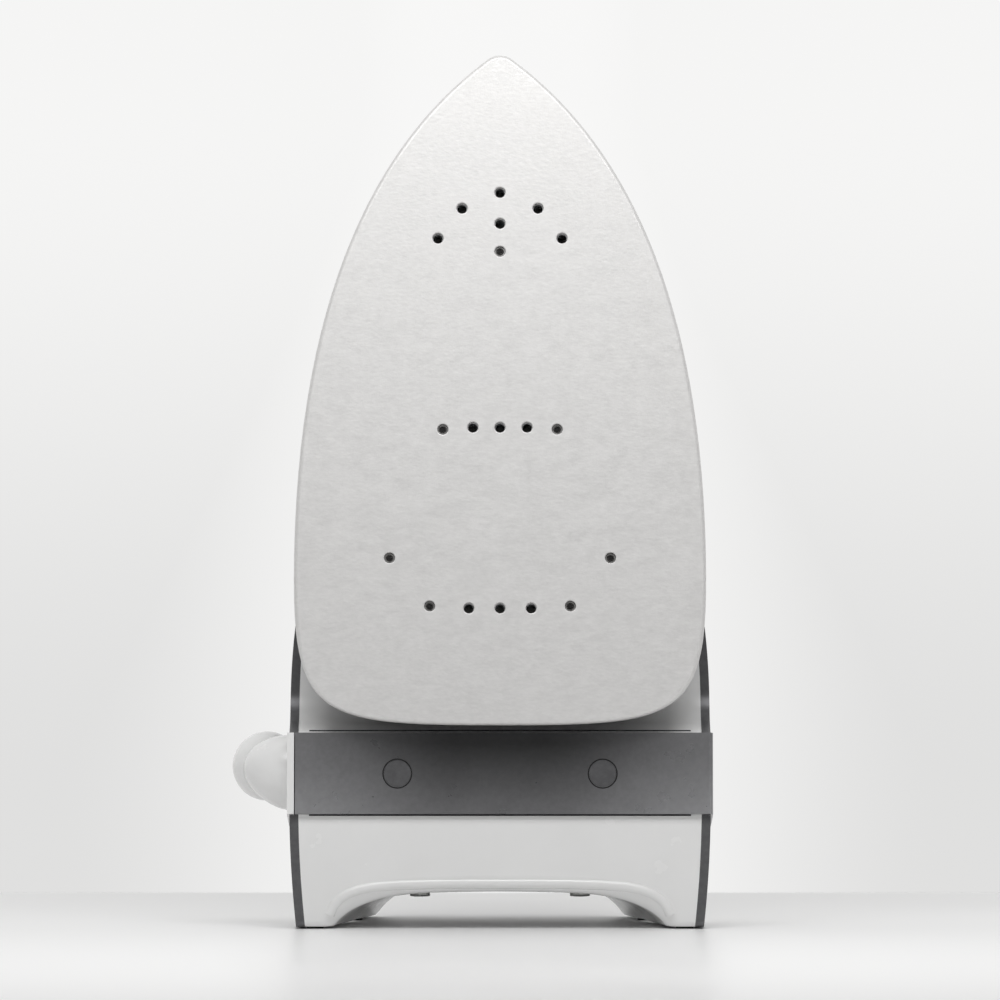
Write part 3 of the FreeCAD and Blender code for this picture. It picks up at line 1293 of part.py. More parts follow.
def make_buttons():
    cap_start = "handle_top + button_proud - button_height"
    for label, side in (("spray", -1), ("steam", 1)):
        name = label + "_button"
        across = "%d * button_spacing / 2" % side
        cap = prism(name + "_cap", "XZ", button_outline(side), "button_height", cap_start)
        round_edges(cap, lambda edge, box: box.YMin > size.handle_top + size.button_proud - 0.1, 1.5)
        stem_end = PUMP_START + " + pump_length - 12"
        stem = cylinder(name + "_stem", "stem_radius", "%s - (%s)" % (cap_start, stem_end),
                        (across, stem_end, "button_place"))
        piece(name, fuse(name + "_solid", [cap, stem]))
        seal = cylinder(label + "_piston_disc", "piston_radius", 4,
                        (across, PUMP_START + " + pump_length - 16", "button_place"))
        piece(label + "_piston", seal)
        barrel = cylinder(label + "_pump_barrel", "pump_radius", "pump_length",
                          (across, PUMP_START, "button_place"))
        chamber = cylinder(label + "_pump_chamber", "pump_bore", "pump_length",
                           (across, PUMP_START + " + 2.5", "button_place"))
        inlet = cylinder(label + "_pump_inlet", "dip_radius + seat_gap", 12,
                         (across, PUMP_START + " - 4", "button_place"))
        piece(label + "_pump", cut(label + "_pump_bored", barrel, [chamber, inlet]))
        dip = cylinder(label + "_dip_bar", "dip_radius", PUMP_START + " + 2 - skirt_back - 5",
                       (across, "skirt_back + 5", "button_place"))
        bore = cylinder(label + "_dip_bore", 1.2, 80, (across, "skirt_back", "button_place"))
        piece(label + "_dip_tube", cut(label + "_dip_hollow", dip, [bore]))
        make_spring(label, side)


def make_spring(label, side):
    """The return spring between the pump's mouth and the button."""
    body = new_body(label + "_spring")
    low = size.body_back + HOLLOW_MARGIN + size.pump_length + size.spring_wire
    room = size.handle_top + size.button_proud - size.button_height - low - size.spring_wire
    drawing = sketch(body, "XY", [], 0)
    index = drawing.addGeometry(Part.Circle(Vector(size.spring_radius, 0, 0), Vector(0, 0, 1), 1), False)
    number = drawing.addConstraint(Sketcher.Constraint("Radius", index, 1))
    bind(drawing, {"Constraints[%d]" % number: "spring_wire"})
    coil = body.newObject("PartDesign::AdditiveHelix", label + "_coil")
    coil.Profile = drawing
    coil.ReferenceAxis = (drawing, ["V_Axis"])
    coil.Mode = "pitch-height-angle"
    coil.Pitch = room / size.spring_turns
    coil.Height = room
    put(body, ("%d * button_spacing / 2" % side, low, "button_place"))
    piece(label + "_spring", body)


def make_lamp():
    lens = cylinder("lens_body", "lamp_radius", 5, (0, "handle_top - 4.6", "lamp_place"))
    piece("indicator_lens", lens)
    bulb = cylinder("lamp_bulb", 2, 8, (0, "handle_top - 13", "lamp_place"))
    foot = block("lamp_foot", (8, 2, 10), (0, "handle_top - 15", "lamp_place - 5"))
    piece("indicator_lamp", fuse("lamp_assembly", [bulb, foot]))


# ---------------------------------------------------------------- feet, wiring and screws

FOOT_PADS = [(ARCH_HALF + 4.7, 3.5, 34), (44.5, 62, 24)]      # across, from the front feet's edge, length


def foot_pads(name, gap):
    """The pads, or the recesses they are pressed into, standing on the floor."""
    made = []
    turn = Rotation(Vector(1, 0, 0), size.lean_angle)
    for number, (across, start, length) in enumerate(FOOT_PADS, start=1):
        for side, letter in ((-1, "l"), (1, "r")):
            half = size.foot_pad_width / 2 + gap
            middle = side * across
            low, high = start - gap, start + length + gap
            outline = rounded([(middle - half, low, half - 0.2), (middle + half, low, half - 0.2),
                               (middle + half, high, half - 0.2), (middle - half, high, half - 0.2)])
            pad_body = prism("%s_%d%s" % (name, number, letter), "XY", outline, "foot_pad_height")
            put(pad_body, (0, "foot_front", ground(size.foot_front)), turn)
            made.append(pad_body)
    return made


def make_feet():
    piece("foot_pads", group("foot_pads", foot_pads("foot_pad", 0)))


def make_wiring():
    """Terminal block and cord clamp on the heel's inner wall, and the leads between them."""
    wall = "body_back - heel_wall"
    piece("terminal_block", block("terminal_body", (30, 12, 12), (0, wall + " - 12", 6)))
    clamp = block("clamp_body", (12, 8, 8), (-36, wall + " - 8", -13))
    bore = cylinder("clamp_bore", 2.25, 20, (-46, wall + " - 4", -9), "x")
    piece("cord_clamp", cut("clamp_cut", clamp, [bore]))
    level = size.body_back - size.heel_wall - 4
    inside = size.body_back - size.heel_wall - 6
    under = size.handle_top - 15.5
    supply = [(-50, level - 14, -9), (-47, level, -9), (-20, level, -9), (-12, inside, -3), (-12, inside, 5.9)]
    lamp = [(9, inside, 5.9), (9, inside, -4), (9, 84, -4), (9, 108, 0), (9, under, 34), (4, under, 103)]
    piece("supply_lead", tube("supply_wire", supply, 3, 2.2))
    piece("lamp_lead", tube("lamp_wire", lamp, 3.5, 1.1))
    end = size.skirt_back + 11.1
    leads = []
    for number, side in enumerate((-1, 1)):
        route = [(side * 15.1, inside, 12), (side * 24, inside, 12), (side * 30, end + 9, 15), (side * 30, end, 16)]
        leads.append(tube("heater_wire_%d" % number, route, 3, 1.3))
    piece("heater_leads", group("heater_leads", leads))


def finish():
    """Recompute, refuse anything that failed, and write one STEP file for each sub-part."""
    doc.recompute()
    for item in doc.Objects:
        if "Invalid" in item.State or "Error" in item.State:
            raise RuntimeError("%s failed: %s" % (item.Label, item.State))
    os.makedirs("parts", exist_ok=True)
    for label, source in pieces:
        if source.Shape.isNull() or not source.Shape.isValid():
            raise RuntimeError("%s has no valid shape" % label)
        source.Shape.exportStep(os.path.join("parts", label + ".step"))


make_soleplate()
make_rivets()
make_heater()
make_chamber_cover()
make_skirt()
make_thermostat()
make_body_shell()
make_tank()
make_saddle()
make_filler()
make_nozzle()
make_dial()
make_steam_control()
make_heel()
make_band()
make_outlet()
make_handle()
make_buttons()
make_lamp()
make_feet()
make_wiring()
finish()
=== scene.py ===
import json
import math

import bmesh
import bpy
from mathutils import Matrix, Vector
from mathutils.bvhtree import BVHTree


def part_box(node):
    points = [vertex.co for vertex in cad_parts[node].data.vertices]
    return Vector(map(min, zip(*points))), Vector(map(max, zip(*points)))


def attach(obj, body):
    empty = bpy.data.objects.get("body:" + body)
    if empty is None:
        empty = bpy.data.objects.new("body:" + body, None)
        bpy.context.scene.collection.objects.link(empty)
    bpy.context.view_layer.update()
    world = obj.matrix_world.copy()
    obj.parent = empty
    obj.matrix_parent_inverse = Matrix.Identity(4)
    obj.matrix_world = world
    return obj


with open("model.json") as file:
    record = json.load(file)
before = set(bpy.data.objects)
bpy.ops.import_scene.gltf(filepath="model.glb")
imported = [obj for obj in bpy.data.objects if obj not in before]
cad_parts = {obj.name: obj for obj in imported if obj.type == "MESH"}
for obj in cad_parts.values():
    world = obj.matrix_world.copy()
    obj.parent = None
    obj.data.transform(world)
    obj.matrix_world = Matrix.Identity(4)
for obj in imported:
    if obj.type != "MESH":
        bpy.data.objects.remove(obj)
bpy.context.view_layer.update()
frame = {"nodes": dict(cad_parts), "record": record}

# Looks of the steam iron. Every surface is a procedural material in the row frame:
# object coordinates are metres, so a noise scale of 1000 is one blotch per millimetre.

LEAN = math.radians(8)                       # the iron leans back by this about X
ALONG = Vector((0, math.sin(LEAN), math.cos(LEAN)))      # along the iron, towards the nose
UP = Vector((0, math.cos(LEAN), -math.sin(LEAN)))        # out of the iron's back, away from the sole
ACROSS = Vector((1, 0, 0))
SOLE_REAR = Vector((0, -0.051993, 0.061166))             # middle of the sole's rear edge
FRONT_ROOM = 0.215                           # brightness of the room in front of the iron
FLOOR_END = 0.23                             # where the floor meets the backdrop, behind the iron


def spot(across, height, along):
    """A point in the iron's own directions, in millimetres from the sole's rear edge."""
    return SOLE_REAR + 0.001 * (across * ACROSS + height * UP + along * ALONG)


# ---------------------------------------------------------------- material kit

def join(tree, operation, first, second):
    """Sum, product or other arithmetic of two sockets or plain numbers."""
    made = tree.nodes.new("ShaderNodeMath")
    made.operation = operation
    for socket, value in zip(made.inputs, (first, second)):
        if isinstance(value, float):
            socket.default_value = value
        else:
            tree.links.new(value, socket)
    return made.outputs[0]


def ease(tree, source, low, high, start, end):
    """Smooth step of a value from start to end, as the source goes from low to high."""
    made = tree.nodes.new("ShaderNodeMapRange")
    made.interpolation_type = "SMOOTHSTEP"
    for socket, value in zip(("From Min", "From Max", "To Min", "To Max"), (low, high, start, end)):
        made.inputs[socket].default_value = value
    tree.links.new(source, made.inputs["Value"])
    return made.outputs["Result"]


class Finish:
    """One procedural material: a principled shader with noise in its colour, gloss and bump."""

    def __init__(self, name, colour, roughness, metallic=0.0, specular=0.5):
        self.material = bpy.data.materials.new(name)
        self.material.use_nodes = True
        self.tree = self.material.node_tree
        self.shader = self.tree.nodes["Principled BSDF"]
        self.colour = (*colour, 1.0)
        self.set("Base Color", self.colour)
        self.set("Roughness", roughness)
        self.set("Metallic", metallic)
        self.set("Specular IOR Level", specular)
        self.roughness = roughness
        self.coordinates = self.tree.nodes.new("ShaderNodeTexCoord").outputs["Object"]
        self.height = None
        self.colour_socket = None

    def set(self, socket, value):
        self.shader.inputs[socket].default_value = value
        return self

    def node(self, kind, **values):
        made = self.tree.nodes.new(kind)
        for key, value in values.items():
            setattr(made, key, value)
        return made

    def link(self, source, target):
        self.tree.links.new(source, target)

    def noise(self, scale, detail=3.0, stretch=(1, 1, 1), lean=True):
        """Noise whose third axis runs along the iron, so that brushing follows the sole."""
        mapping = self.node("ShaderNodeMapping")
        mapping.inputs["Rotation"].default_value = (LEAN if lean else 0.0, 0, 0)
        mapping.inputs["Scale"].default_value = stretch
        self.link(self.coordinates, mapping.inputs["Vector"])
        noise = self.node("ShaderNodeTexNoise")
        noise.inputs["Scale"].default_value = scale
        noise.inputs["Detail"].default_value = detail
        self.link(mapping.outputs["Vector"], noise.inputs["Vector"])
        return noise.outputs["Fac"]

    def ramp(self, source, low, high, colours):
        """Spreads a factor between two colours."""
        ramp = self.node("ShaderNodeValToRGB")
        ramp.color_ramp.elements[0].position = low
        ramp.color_ramp.elements[1].position = high
        ramp.color_ramp.elements[0].color = colours[0]
        ramp.color_ramp.elements[1].color = colours[1]
        self.link(source, ramp.inputs["Fac"])
        return ramp.outputs["Color"]

    def spread(self, source, low, high):
        """Maps a noise factor onto a range of values."""
        spread = self.node("ShaderNodeMapRange")
        spread.inputs["From Min"].default_value = 0.3
        spread.inputs["From Max"].default_value = 0.7
        spread.inputs["To Min"].default_value = low
        spread.inputs["To Max"].default_value = high
        self.link(source, spread.inputs["Value"])
        return spread.outputs["Result"]

    def tint(self, scale, amount, **noise):
        """Uneven colour: a little darker and lighter than the base."""
        dark = [c * (1 - amount) for c in self.colour[:3]]
        light = [min(1.0, c * (1 + amount)) for c in self.colour[:3]]
        self.colour_socket = self.ramp(self.noise(scale, **noise), 0.3, 0.7, [(*dark, 1), (*light, 1)])
        self.link(self.colour_socket, self.shader.inputs["Base Color"])
        return self

    def speckle(self, scale, share, colour):
        """Small flecks of another colour, over a tint."""
        fleck = self.ramp(self.noise(scale, detail=1.0), 1 - share - 0.02, 1 - share + 0.02,
                          [(0, 0, 0, 1), (1, 1, 1, 1)])
        mix = self.node("ShaderNodeMix", data_type="RGBA")
        self.link(fleck, mix.inputs["Factor"])
        self.link(self.colour_socket, mix.inputs["A"])
        mix.inputs["B"].default_value = (*colour, 1)
        self.colour_socket = mix.outputs["Result"]
        self.link(self.colour_socket, self.shader.inputs["Base Color"])
        return self

    def gloss(self, scale, amount, **noise):
        """Uneven gloss, such as handling marks."""
        low, high = self.roughness * (1 - amount), min(1.0, self.roughness * (1 + amount))
        self.link(self.spread(self.noise(scale, **noise), low, high), self.shader.inputs["Roughness"])
        return self

    def bump(self, scale, depth, strength, **noise):
        """Surface relief of the given depth in metres; relief adds up from coarse to fine."""
        bump = self.node("ShaderNodeBump")
        bump.inputs["Strength"].default_value = strength
        bump.inputs["Distance"].default_value = depth
        self.link(self.noise(scale, **noise), bump.inputs["Height"])
        if self.height:
            self.link(self.height, bump.inputs["Normal"])
        self.height = bump.outputs["Normal"]
        self.link(self.height, self.shader.inputs["Normal"])
        return self


def ceramic_sole():
    """Warm light grey coating with a fine pebbled grain, slightly drawn across the sole."""
    made = Finish("sole_ceramic_coating", (0.715, 0.708, 0.70), 0.42, 0.25)
    made.tint(900, 0.04, detail=4.0, stretch=(0.6, 1, 1.3))
    made.speckle(1500, 0.2, (0.80, 0.795, 0.785))
    made.gloss(300, 0.15, stretch=(0.6, 1, 1.3))
    made.bump(70, 0.0005, strength=0.025, detail=2.0, stretch=(0.7, 1, 1.2))
    made.bump(1000, 0.00007, strength=0.5, detail=3.0, stretch=(0.7, 1, 1.2))
    return made.material


def white_plastic():
    """Gloss white shell plastic with a thin clear coat and faint ripples."""
    made = Finish("gloss_white_plastic", (0.86, 0.86, 0.855), 0.22)
    made.set("Coat Weight", 0.25).set("Coat Roughness", 0.08)
    made.tint(60, 0.012).gloss(90, 0.25, detail=4.0)
    made.bump(38, 0.0004, strength=0.04, detail=1.0).bump(1800, 0.00002, strength=0.12)
    made.set("Subsurface Weight", 0.04).set("Subsurface Radius", (0.002, 0.002, 0.002))
    return made.material


def grey_trim():
    """Satin dark grey lacquer with a fine metallic fleck."""
    made = Finish("satin_grey_lacquer", (0.135, 0.135, 0.14), 0.34, 0.55)
    made.tint(700, 0.10, detail=4.0)
    made.speckle(2600, 0.22, (0.19, 0.19, 0.195))
    made.gloss(120, 0.16, detail=4.0)
    made.bump(1600, 0.00002, strength=0.25)
    made.bump(60, 0.0003, strength=0.03, detail=1.0)
    return made.material


def painted_shadow_lacquer():
    """The band's lacquer with a painted shadow of the sole's edge: darker in the middle of its upper edge,
    lighter to its ends and foot.
    """
    made = Finish("grey_lacquer_with_painted_shadow", (0.165, 0.165, 0.17), 0.3, 0.45)
    made.tint(700, 0.06, detail=4.0)
    # Painted shadow: the colour is scaled darker towards the middle of the upper edge and lighter towards
    # the ends and foot, standing in for the sole's shadow.
    split = made.node("ShaderNodeSeparateXYZ")
    made.link(made.coordinates, split.inputs["Vector"])
    side = ease(made.tree, join(made.tree, "ABSOLUTE", split.outputs["X"], 0.0), 0.012, 0.066, 0.0, 1.1)
    rise = ease(made.tree, split.outputs["Z"], 0.026, 0.056, 1.35, 0.28)
    shadow_tone = join(made.tree, "ADD", rise, side)
    mix = made.node("ShaderNodeVectorMath", operation="SCALE")
    made.link(made.colour_socket, mix.inputs[0])
    made.link(shadow_tone, mix.inputs["Scale"])
    made.link(mix.outputs["Vector"], made.shader.inputs["Base Color"])
    made.gloss(120, 0.12, detail=4.0)
    made.bump(2400, 0.00001, strength=0.15)
    return made.material


def ink(name, colour):
    """Pad-printed ink, a little uneven at its edges."""
    made = Finish(name, colour, 0.45)
    made.tint(2600, 0.10, detail=4.0).gloss(900, 0.2)
    made.bump(2200, 0.00002, strength=0.3)
    return made.material


def tank_plastic(name, colour, roughness):
    """Smoky clear plastic, faintly wavy as moulded."""
    made = Finish(name, colour, roughness)
    made.set("Transmission Weight", 0.88).set("IOR", 1.5)
    made.tint(40, 0.06).gloss(70, 0.3, detail=4.0)
    made.bump(30, 0.0008, strength=0.05, detail=1.0).bump(500, 0.00004, strength=0.06)
    return made.material


def moulded(name, colour, roughness, grain=1400, depth=0.00005):
    """Plain moulded plastic with a spark-eroded grain."""
    made = Finish(name, colour, roughness)
    made.tint(180, 0.06, detail=4.0).gloss(140, 0.2, detail=4.0)
    made.bump(grain, depth, strength=0.5, detail=2.0)
    return made.material


def brushed(name, colour, roughness, stretch=(1, 1, 0.05)):
    """Bare or plated metal with fine marks, drawn out by the stretch."""
    made = Finish(name, colour, roughness, 1.0)
    made.tint(1400, 0.12, detail=4.0, stretch=stretch).gloss(1100, 0.25, stretch=stretch)
    made.bump(1800, 0.00003, strength=0.4, stretch=stretch)
    return made.material


def cast_metal():
    """Rough sand-like skin of a die casting."""
    made = Finish("as_cast_aluminium", (0.60, 0.61, 0.62), 0.5, 1.0)
    made.tint(300, 0.12, detail=5.0).gloss(240, 0.25, detail=5.0)
    made.bump(420, 0.0002, strength=0.5, detail=5.0)
    return made.material


def rubber(name, colour, roughness=0.75, grain=900):
    """Dull rubber or cable cover with an uneven grain."""
    made = Finish(name, colour, roughness, specular=0.3)
    made.tint(240, 0.15, detail=4.0).gloss(200, 0.1, detail=4.0)
    made.bump(grain, 0.0001, strength=0.5, detail=3.0)
    return made.material


def soft_grip():
    """Soft-touch grip with a fine pebble grain."""
    made = Finish("soft_touch_grip", (0.045, 0.045, 0.05), 0.62, specular=0.35)
    made.tint(220, 0.18, detail=4.0).gloss(160, 0.12, detail=4.0)
    cells = made.node("ShaderNodeTexVoronoi", feature="SMOOTH_F1")
    cells.inputs["Scale"].default_value = 900
    made.link(made.coordinates, cells.inputs["Vector"])
    bump = made.node("ShaderNodeBump", invert=True)
    bump.inputs["Strength"].default_value = 0.5
    bump.inputs["Distance"].default_value = 0.0001
    made.link(cells.outputs["Distance"], bump.inputs["Height"])
    made.link(bump.outputs["Normal"], made.shader.inputs["Normal"])
    return made.material


def glass(name, colour, roughness, weight):
    """Clear or tinted lens, slightly rippled; the weight is how much light it lets through."""
    made = Finish(name, colour, roughness)
    made.set("Transmission Weight", weight).set("IOR", 1.49)
    made.tint(120, 0.08).gloss(90, 0.3)
    made.bump(160, 0.0002, strength=0.08)
    return made.material


MATERIALS = {
    "sole_coating": ceramic_sole(),
    "rivet_steel": brushed("turned_rivet_steel", (0.34, 0.335, 0.33), 0.38, (1, 1, 1)),
    "casting": cast_metal(),
    "element_steel": brushed("heat_tinted_steel", (0.32, 0.28, 0.25), 0.4),
    "gasket": rubber("red_silicone", (0.42, 0.08, 0.05), 0.6),
    "plate_steel": brushed("zinc_plated_steel", (0.62, 0.62, 0.60), 0.35),
    "skirt_plastic": moulded("heatproof_plastic", (0.05, 0.05, 0.054), 0.5),
    "white_plastic": white_plastic(),
    "grey_trim": grey_trim(),
    "tank_plastic": tank_plastic("smoky_clear_plastic", (0.40, 0.44, 0.50), 0.08),
    "dark_plastic": moulded("dark_button_plastic", (0.055, 0.056, 0.06), 0.36),
    "soft_grip": soft_grip(),
    "inner_plastic": moulded("natural_plastic", (0.70, 0.68, 0.62), 0.45),
    "seal_rubber": rubber("black_rubber", (0.03, 0.03, 0.03)),
    "spring_steel": brushed("spring_wire", (0.5, 0.5, 0.52), 0.28),
    "lens": glass("amber_lens", (0.95, 0.35, 0.06), 0.12, 0.7),
    "lamp_glass": glass("lamp_glass", (0.95, 0.9, 0.85), 0.05, 0.95),
    "wire_cover": rubber("wire_cover", (0.03, 0.03, 0.032), 0.5, 700),
    "ceramic": moulded("unglazed_ceramic", (0.78, 0.75, 0.68), 0.7, 1000, 0.00008),
}

slot_of = {part["node"]: part["material_slot"] for part in frame["record"]["subparts"]}
# The heel band takes the lacquer with the painted shadow; every other part takes its slot's material.
heel_band_painted_shadow = painted_shadow_lacquer()
for name, node in frame["nodes"].items():
    material = heel_band_painted_shadow if name == "heel_band" else MATERIALS[slot_of[name]]
    node.data.materials.clear()
    node.data.materials.append(material)


# ---------------------------------------------------------------- pieces on the CAD surfaces

def skin(name):
    """The surface of a CAD node, for laying marks and seams on."""
    mesh = frame["nodes"][name].data
    return BVHTree.FromPolygons([v.co for v in mesh.vertices], [list(p.vertices) for p in mesh.polygons])


def laid(surface, starts, direction, proud=0.0):
    """Where lines from the start points meet the surface, lifted off it by proud metres, or sunk."""
    points = []
    for start in starts:
        point = surface.ray_cast(start, direction)[0]
        if point is not None:
            points.append(point - proud * direction.normalized())
    return points


def bead(name, points, radius, material, body, cyclic=False):
    """A round bead or printed line along the points."""
    data = bpy.data.curves.new(name, "CURVE")
    data.dimensions = "3D"
    data.bevel_depth = radius
    data.bevel_resolution = 3
    data.use_fill_caps = True
    line = data.splines.new("POLY")
    line.points.add(len(points) - 1)
    for vertex, point in zip(line.points, points):
        vertex.co = (*point, 1)
    line.use_cyclic_u = cyclic
    data.materials.append(material)
    made = bpy.data.objects.new(name, data)
    bpy.context.scene.collection.objects.link(made)
    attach(made, body)


def studs(name, centres, normal, radius, height, material, body):
    """Low round studs with a crowned top, all in one piece."""
    mesh = bpy.data.meshes.new(name)
    made = bmesh.new()
    side = normal.cross(ACROSS if abs(normal.x) < 0.9 else ALONG).normalized()
    other = normal.cross(side)
    for centre in centres:
        rings = []
        for share, lift in ((1.0, -0.3), (1.0, 0.6), (0.85, 0.9), (0.45, 1.0)):
            ring = []
            for step in range(STUD_SIDES):
                turn = math.tau * step / STUD_SIDES
                reach = radius * share * (math.cos(turn) * side + math.sin(turn) * other)
                ring.append(made.verts.new(centre + reach + height * lift * normal))
            rings.append(ring)
        for low, high in zip(rings, rings[1:]):
            for step in range(STUD_SIDES):
                after = (step + 1) % STUD_SIDES
                made.faces.new((low[step], low[after], high[after], high[step]))
        made.faces.new(rings[-1])
        made.faces.new(reversed(rings[0]))
    bmesh.ops.recalc_face_normals(made, faces=made.faces)
    made.to_mesh(mesh)
    made.free()
    mesh.shade_smooth()
    mesh.materials.append(material)
    piece = bpy.data.objects.new(name, mesh)
    bpy.context.scene.collection.objects.link(piece)
    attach(piece, body)


def circle(centre, radius, side, other, steps):
    """Points round a circle in the plane of the two directions."""
    turns = [math.tau * step / steps for step in range(steps)]
    return [centre + radius * (math.cos(turn) * side + math.sin(turn) * other) for turn in turns]


# Rivets and marks, as (across, along) or along the iron in millimetres; other sizes are in metres.
RIVETS = [(0, 142.8), (-17.1, 88.9), (17.1, 88.9), (-33, 50.1), (33, 50.1), (-21, 35.6), (21, 35.6)]
RIVET_DEPTH = 1.1                            # millimetres from the sole's face to the heads
# Painted shadow: sizes of the near-black rings and spots laid in the rivet recesses.
RIVET_SHADOW_RADIUS = 0.001746
RIVET_SHADOW_BEAD = 0.00022
DIMPLE_SHADE_RADIUS = 0.00065
STUD_HEIGHT = 0.0001
PLUG_RADIUS = 0.0041
GROOVE_RADIUS = 0.0043
GROOVE_SHADOW_BEAD = 0.00016
SEAM_SHADOW_BEAD = 0.00028
SEAM_STEPS = range(-285, 290, 15)            # fifths of a millimetre across the front of the heel
LEVEL_MARKS = (112, 136, 160)
LEVEL_HEIGHT = 36                            # millimetres from the sole's face to the marks' middle
LEVEL_LENGTHS = (7, 7, 12)                   # the highest mark is the long one
LEVEL_BEAD = 0.00022
SIDE_START = 90                              # millimetres to the side, clear of the tank
DIAL_PLACE = 76.05
DIAL_START = 120                             # millimetres from the sole's face, clear of the dial
DIAL_MARKS = (20, 70, 120, 170, 220, 270, 320)           # degrees round the dial
MARK_RADIUS = 0.0222
TICK_REACH = (0.0216, MARK_RADIUS, 0.0228)
TICK_BEAD = 0.00016
DOT_RADIUS = 0.0004
DOT_SPACING = 0.055                          # radians round the dial
STUD_SIDES = 20
FRONT = -0.08                                # lines start here, in front of the iron
FORWARD = Vector((0, 1, 0))
ARCH_HALF = 0.0505
ARCH_CROWN = 0.0129                          # height of the lip at the middle of the arch
LIP_LIFT = 0.000777
LIP_BEAD = 0.0017
LIP_SINK = 0.0009
ARCH_SHAPE = [(1.01, 0.0035), (0.985, 0.0062), (0.95, 0.0082), (0.9, 0.0098), (0.83, 0.0111),
              (0.75, 0.0119), (0.6, 0.0125), (0.4, 0.0128), (0.2, ARCH_CROWN)]
# Painted shadow: a near-black dull finish for the beads and spots laid where recesses, grooves and gaps
# fall into shade.
shadow = rubber("groove_shadow", (0.012, 0.012, 0.012), 0.8)
white_ink = ink("white_ink", (0.78, 0.78, 0.77))


def rivet_details():
    """Painted shadow: a near-black ring in the gap round each rivet head and a near-black spot at the
    bottom of its dimple, where these hollows fall into shade.
    """
    heads = []
    for number, (across, along) in enumerate(RIVETS, start=1):
        centre = spot(across, RIVET_DEPTH - 0.05, along)
        shadow_rim = circle(centre, RIVET_SHADOW_RADIUS, ACROSS, ALONG, 28)
        bead("rivet_painted_shadow_ring_%d" % number, shadow_rim, RIVET_SHADOW_BEAD, shadow, "iron", cyclic=True)
        heads.append(spot(across, RIVET_DEPTH, along))
    studs("rivet_dimple_painted_shade", heads, -UP, DIMPLE_SHADE_RADIUS, STUD_HEIGHT, shadow, "iron")


def band_details():
    """Painted shadow: near-black rings in the fine grooves round the two plugs, and near-black seams above
    and below the band, where these gaps fall into shade.
    """
    band = skin("heel_band")
    low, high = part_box("screw_covers")
    for side in (-1, 1):
        centre = Vector((side * (high[0] - PLUG_RADIUS), FRONT, (low[2] + high[2]) / 2))
        starts = circle(centre, GROOVE_RADIUS, ACROSS, Vector((0, 0, 1)), 36)
        name = "right_plug_groove_painted_shadow" if side > 0 else "left_plug_groove_painted_shadow"
        # Painted shadow laid in the groove round each plug.
        ring = laid(band, starts, FORWARD, 0.00003)
        bead(name, ring, GROOVE_SHADOW_BEAD, shadow, "iron", cyclic=True)
    low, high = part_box("heel_band")
    corners = [vertex.co for vertex in frame["nodes"]["heel_band"].data.vertices]
    front_foot = min(corner.z for corner in corners if corner.y < low[1] + 0.0045)
    # Painted shadow laid along the gaps above and below the band.
    for name, node, height in (("lower_band_gap_painted_shadow", "heel_foot", front_foot - 0.0002),
                               ("upper_band_gap_painted_shadow", "heel_body", high[2] + 0.0004)):
        starts = [Vector((0.0002 * step, FRONT, height)) for step in SEAM_STEPS]
        bead(name, laid(skin(node), starts, FORWARD), SEAM_SHADOW_BEAD, shadow, "iron")


def arch_lip():
    """Rolled lip along the front edge of the arch between the heel's feet."""
    side = [Vector((share * ARCH_HALF, FRONT, height + LIP_LIFT)) for share, height in ARCH_SHAPE]
    middle = Vector((0, FRONT, ARCH_CROWN + LIP_LIFT))
    other_side = [Vector((-start.x, start.y, start.z)) for start in reversed(side)]
    points = laid(skin("heel_foot"), side + [middle] + other_side, FORWARD, -LIP_SINK)
    bead("arch_lip", points, LIP_BEAD, MATERIALS["white_plastic"], "iron")


def dial_details():
    """Heat marks round the dial: one to three dots, with short ticks between them."""
    bezel = skin("dial_bezel")
    down = -UP
    centre = spot(0, DIAL_START, DIAL_PLACE)
    dots = []
    for number, angle in enumerate(DIAL_MARKS):
        turn = math.radians(angle)
        out = math.cos(turn) * ACROSS + math.sin(turn) * ALONG
        if number % 2:
            count = number // 2 + 1
            for dot in range(count):
                tilt = turn + DOT_SPACING * (dot - (count - 1) / 2)
                way = math.cos(tilt) * ACROSS + math.sin(tilt) * ALONG
                dots.append(centre + MARK_RADIUS * way)
        else:
            tick = laid(bezel, [centre + reach * out for reach in TICK_REACH], down)
            bead("dial_tick_%d" % number, tick, TICK_BEAD, white_ink, "iron")
    places = laid(bezel, dots, down)
    studs("dial_dots", places, UP, DOT_RADIUS, STUD_HEIGHT, white_ink, "iron")


def tank_details():
    """Short water level lines on both sides of the tank."""
    tank = skin("water_tank")
    for side in (-1, 1):
        for number, (along, reach) in enumerate(zip(LEVEL_MARKS, LEVEL_LENGTHS), start=1):
            heights = range(LEVEL_HEIGHT - reach // 2, LEVEL_HEIGHT + reach // 2)
            starts = [spot(side * SIDE_START, height, along) for height in heights]
            line = laid(tank, starts, -side * ACROSS)
            name = "%s_level_line_%d" % ("right" if side > 0 else "left", number)
            bead(name, line, LEVEL_BEAD, white_ink, "iron")


rivet_details()
band_details()
arch_lip()
dial_details()
tank_details()


# ---------------------------------------------------------------- stage, light and camera

def stage_floor():
    """Pale floor that ends behind the iron, where the plain backdrop begins."""
    mesh = bpy.data.meshes.new("stage_floor")
    made = bmesh.new()
    corners = [made.verts.new(p) for p in ((-3, -3, 0), (3, -3, 0), (3, FLOOR_END, 0), (-3, FLOOR_END, 0))]
    made.faces.new(corners)
    made.to_mesh(mesh)
    made.free()
    floor = bpy.data.objects.new("stage_floor", mesh)
    bpy.context.scene.collection.objects.link(floor)
    finish = Finish("pale_floor", (0.90, 0.90, 0.90), 0.35)
    finish.tint(3, 0.01, lean=False).gloss(6, 0.1, lean=False)
    mesh.materials.append(finish.material)


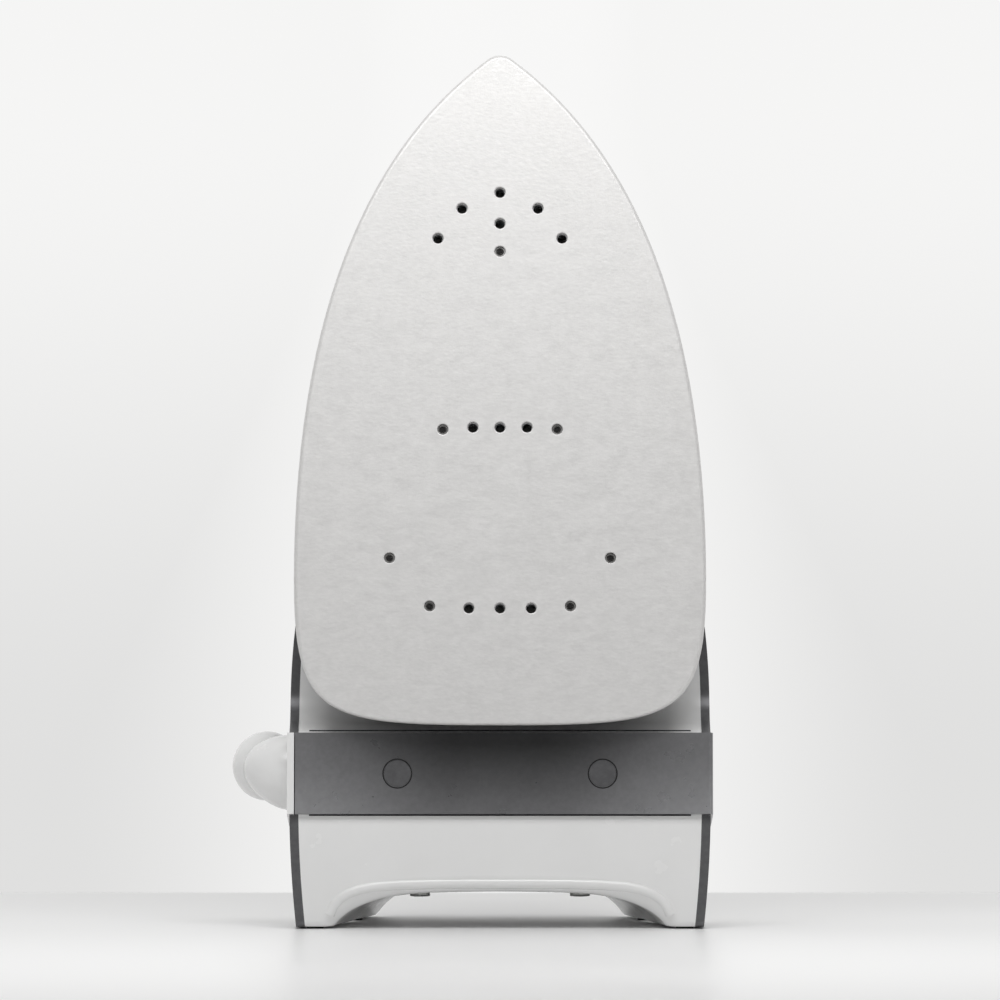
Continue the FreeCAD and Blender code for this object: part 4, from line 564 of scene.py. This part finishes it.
def backdrop():
    """Bright studio wall behind the iron, brightest behind its middle, and a dimmer room in front."""
    world = bpy.data.worlds.new("studio")
    bpy.context.scene.world = world
    world.use_nodes = True
    tree = world.node_tree
    shade = tree.nodes["Background"]
    place = tree.nodes.new("ShaderNodeTexCoord")
    split = tree.nodes.new("ShaderNodeSeparateXYZ")
    tree.links.new(place.outputs["Generated"], split.inputs["Vector"])

    across = join(tree, "ABSOLUTE", split.outputs["X"], 0.0)
    middle = ease(tree, across, 0.006, 0.045, 0.19, 0.0)
    above = ease(tree, split.outputs["Z"], -0.03, 0.04, 0.0, 0.17)
    wall = join(tree, "ADD", join(tree, "MAXIMUM", middle, above), 0.745)
    behind = ease(tree, split.outputs["Y"], -0.5, 0.6, 0.0, 1.0)
    room = join(tree, "MULTIPLY", join(tree, "SUBTRACT", 1.0, behind), FRONT_ROOM)
    brightness = join(tree, "ADD", join(tree, "MULTIPLY", wall, behind), room)
    tree.links.new(brightness, shade.inputs["Strength"])
    shade.inputs["Color"].default_value = (1.0, 0.998, 0.992, 1)


def softbox(name, place, aim, size, power):
    """Rectangular area light at a place, turned to its aim; the power is in watts."""
    data = bpy.data.lights.new(name, "AREA")
    data.shape = "RECTANGLE"
    data.size, data.size_y = size
    data.energy = power
    lamp = bpy.data.objects.new(name, data)
    lamp.location = place
    lamp.rotation_mode = "QUATERNION"
    lamp.rotation_quaternion = (Vector(aim) - Vector(place)).to_track_quat("-Z", "Y")
    bpy.context.scene.collection.objects.link(lamp)


def camera():
    """Level, straight in front of the iron at about half its height."""
    distance = 3.0
    view_width = 0.300
    aim = Vector((0, -0.030, 0.128))
    place = aim - distance * FORWARD
    data = bpy.data.cameras.new("camera")
    data.sensor_width = 36
    data.lens = data.sensor_width * distance / view_width
    made = bpy.data.objects.new("camera", data)
    made.location = place
    made.rotation_mode = "QUATERNION"
    made.rotation_quaternion = (aim - place).to_track_quat("-Z", "Y")
    bpy.context.scene.collection.objects.link(made)
    bpy.context.scene.camera = made


stage_floor()
backdrop()
softbox("top_light", (0, -0.35, 0.50), (0, -0.02, 0.17), (0.50, 0.24), 1.72)
softbox("left_fill", (-0.85, -1.30, 0.20), (0, 0, 0.06), (0.5, 0.5), 0.6)
softbox("right_fill", (0.85, -1.30, 0.20), (0, 0, 0.06), (0.5, 0.5), 0.6)
bpy.context.scene.view_settings.view_transform = "Standard"
camera()
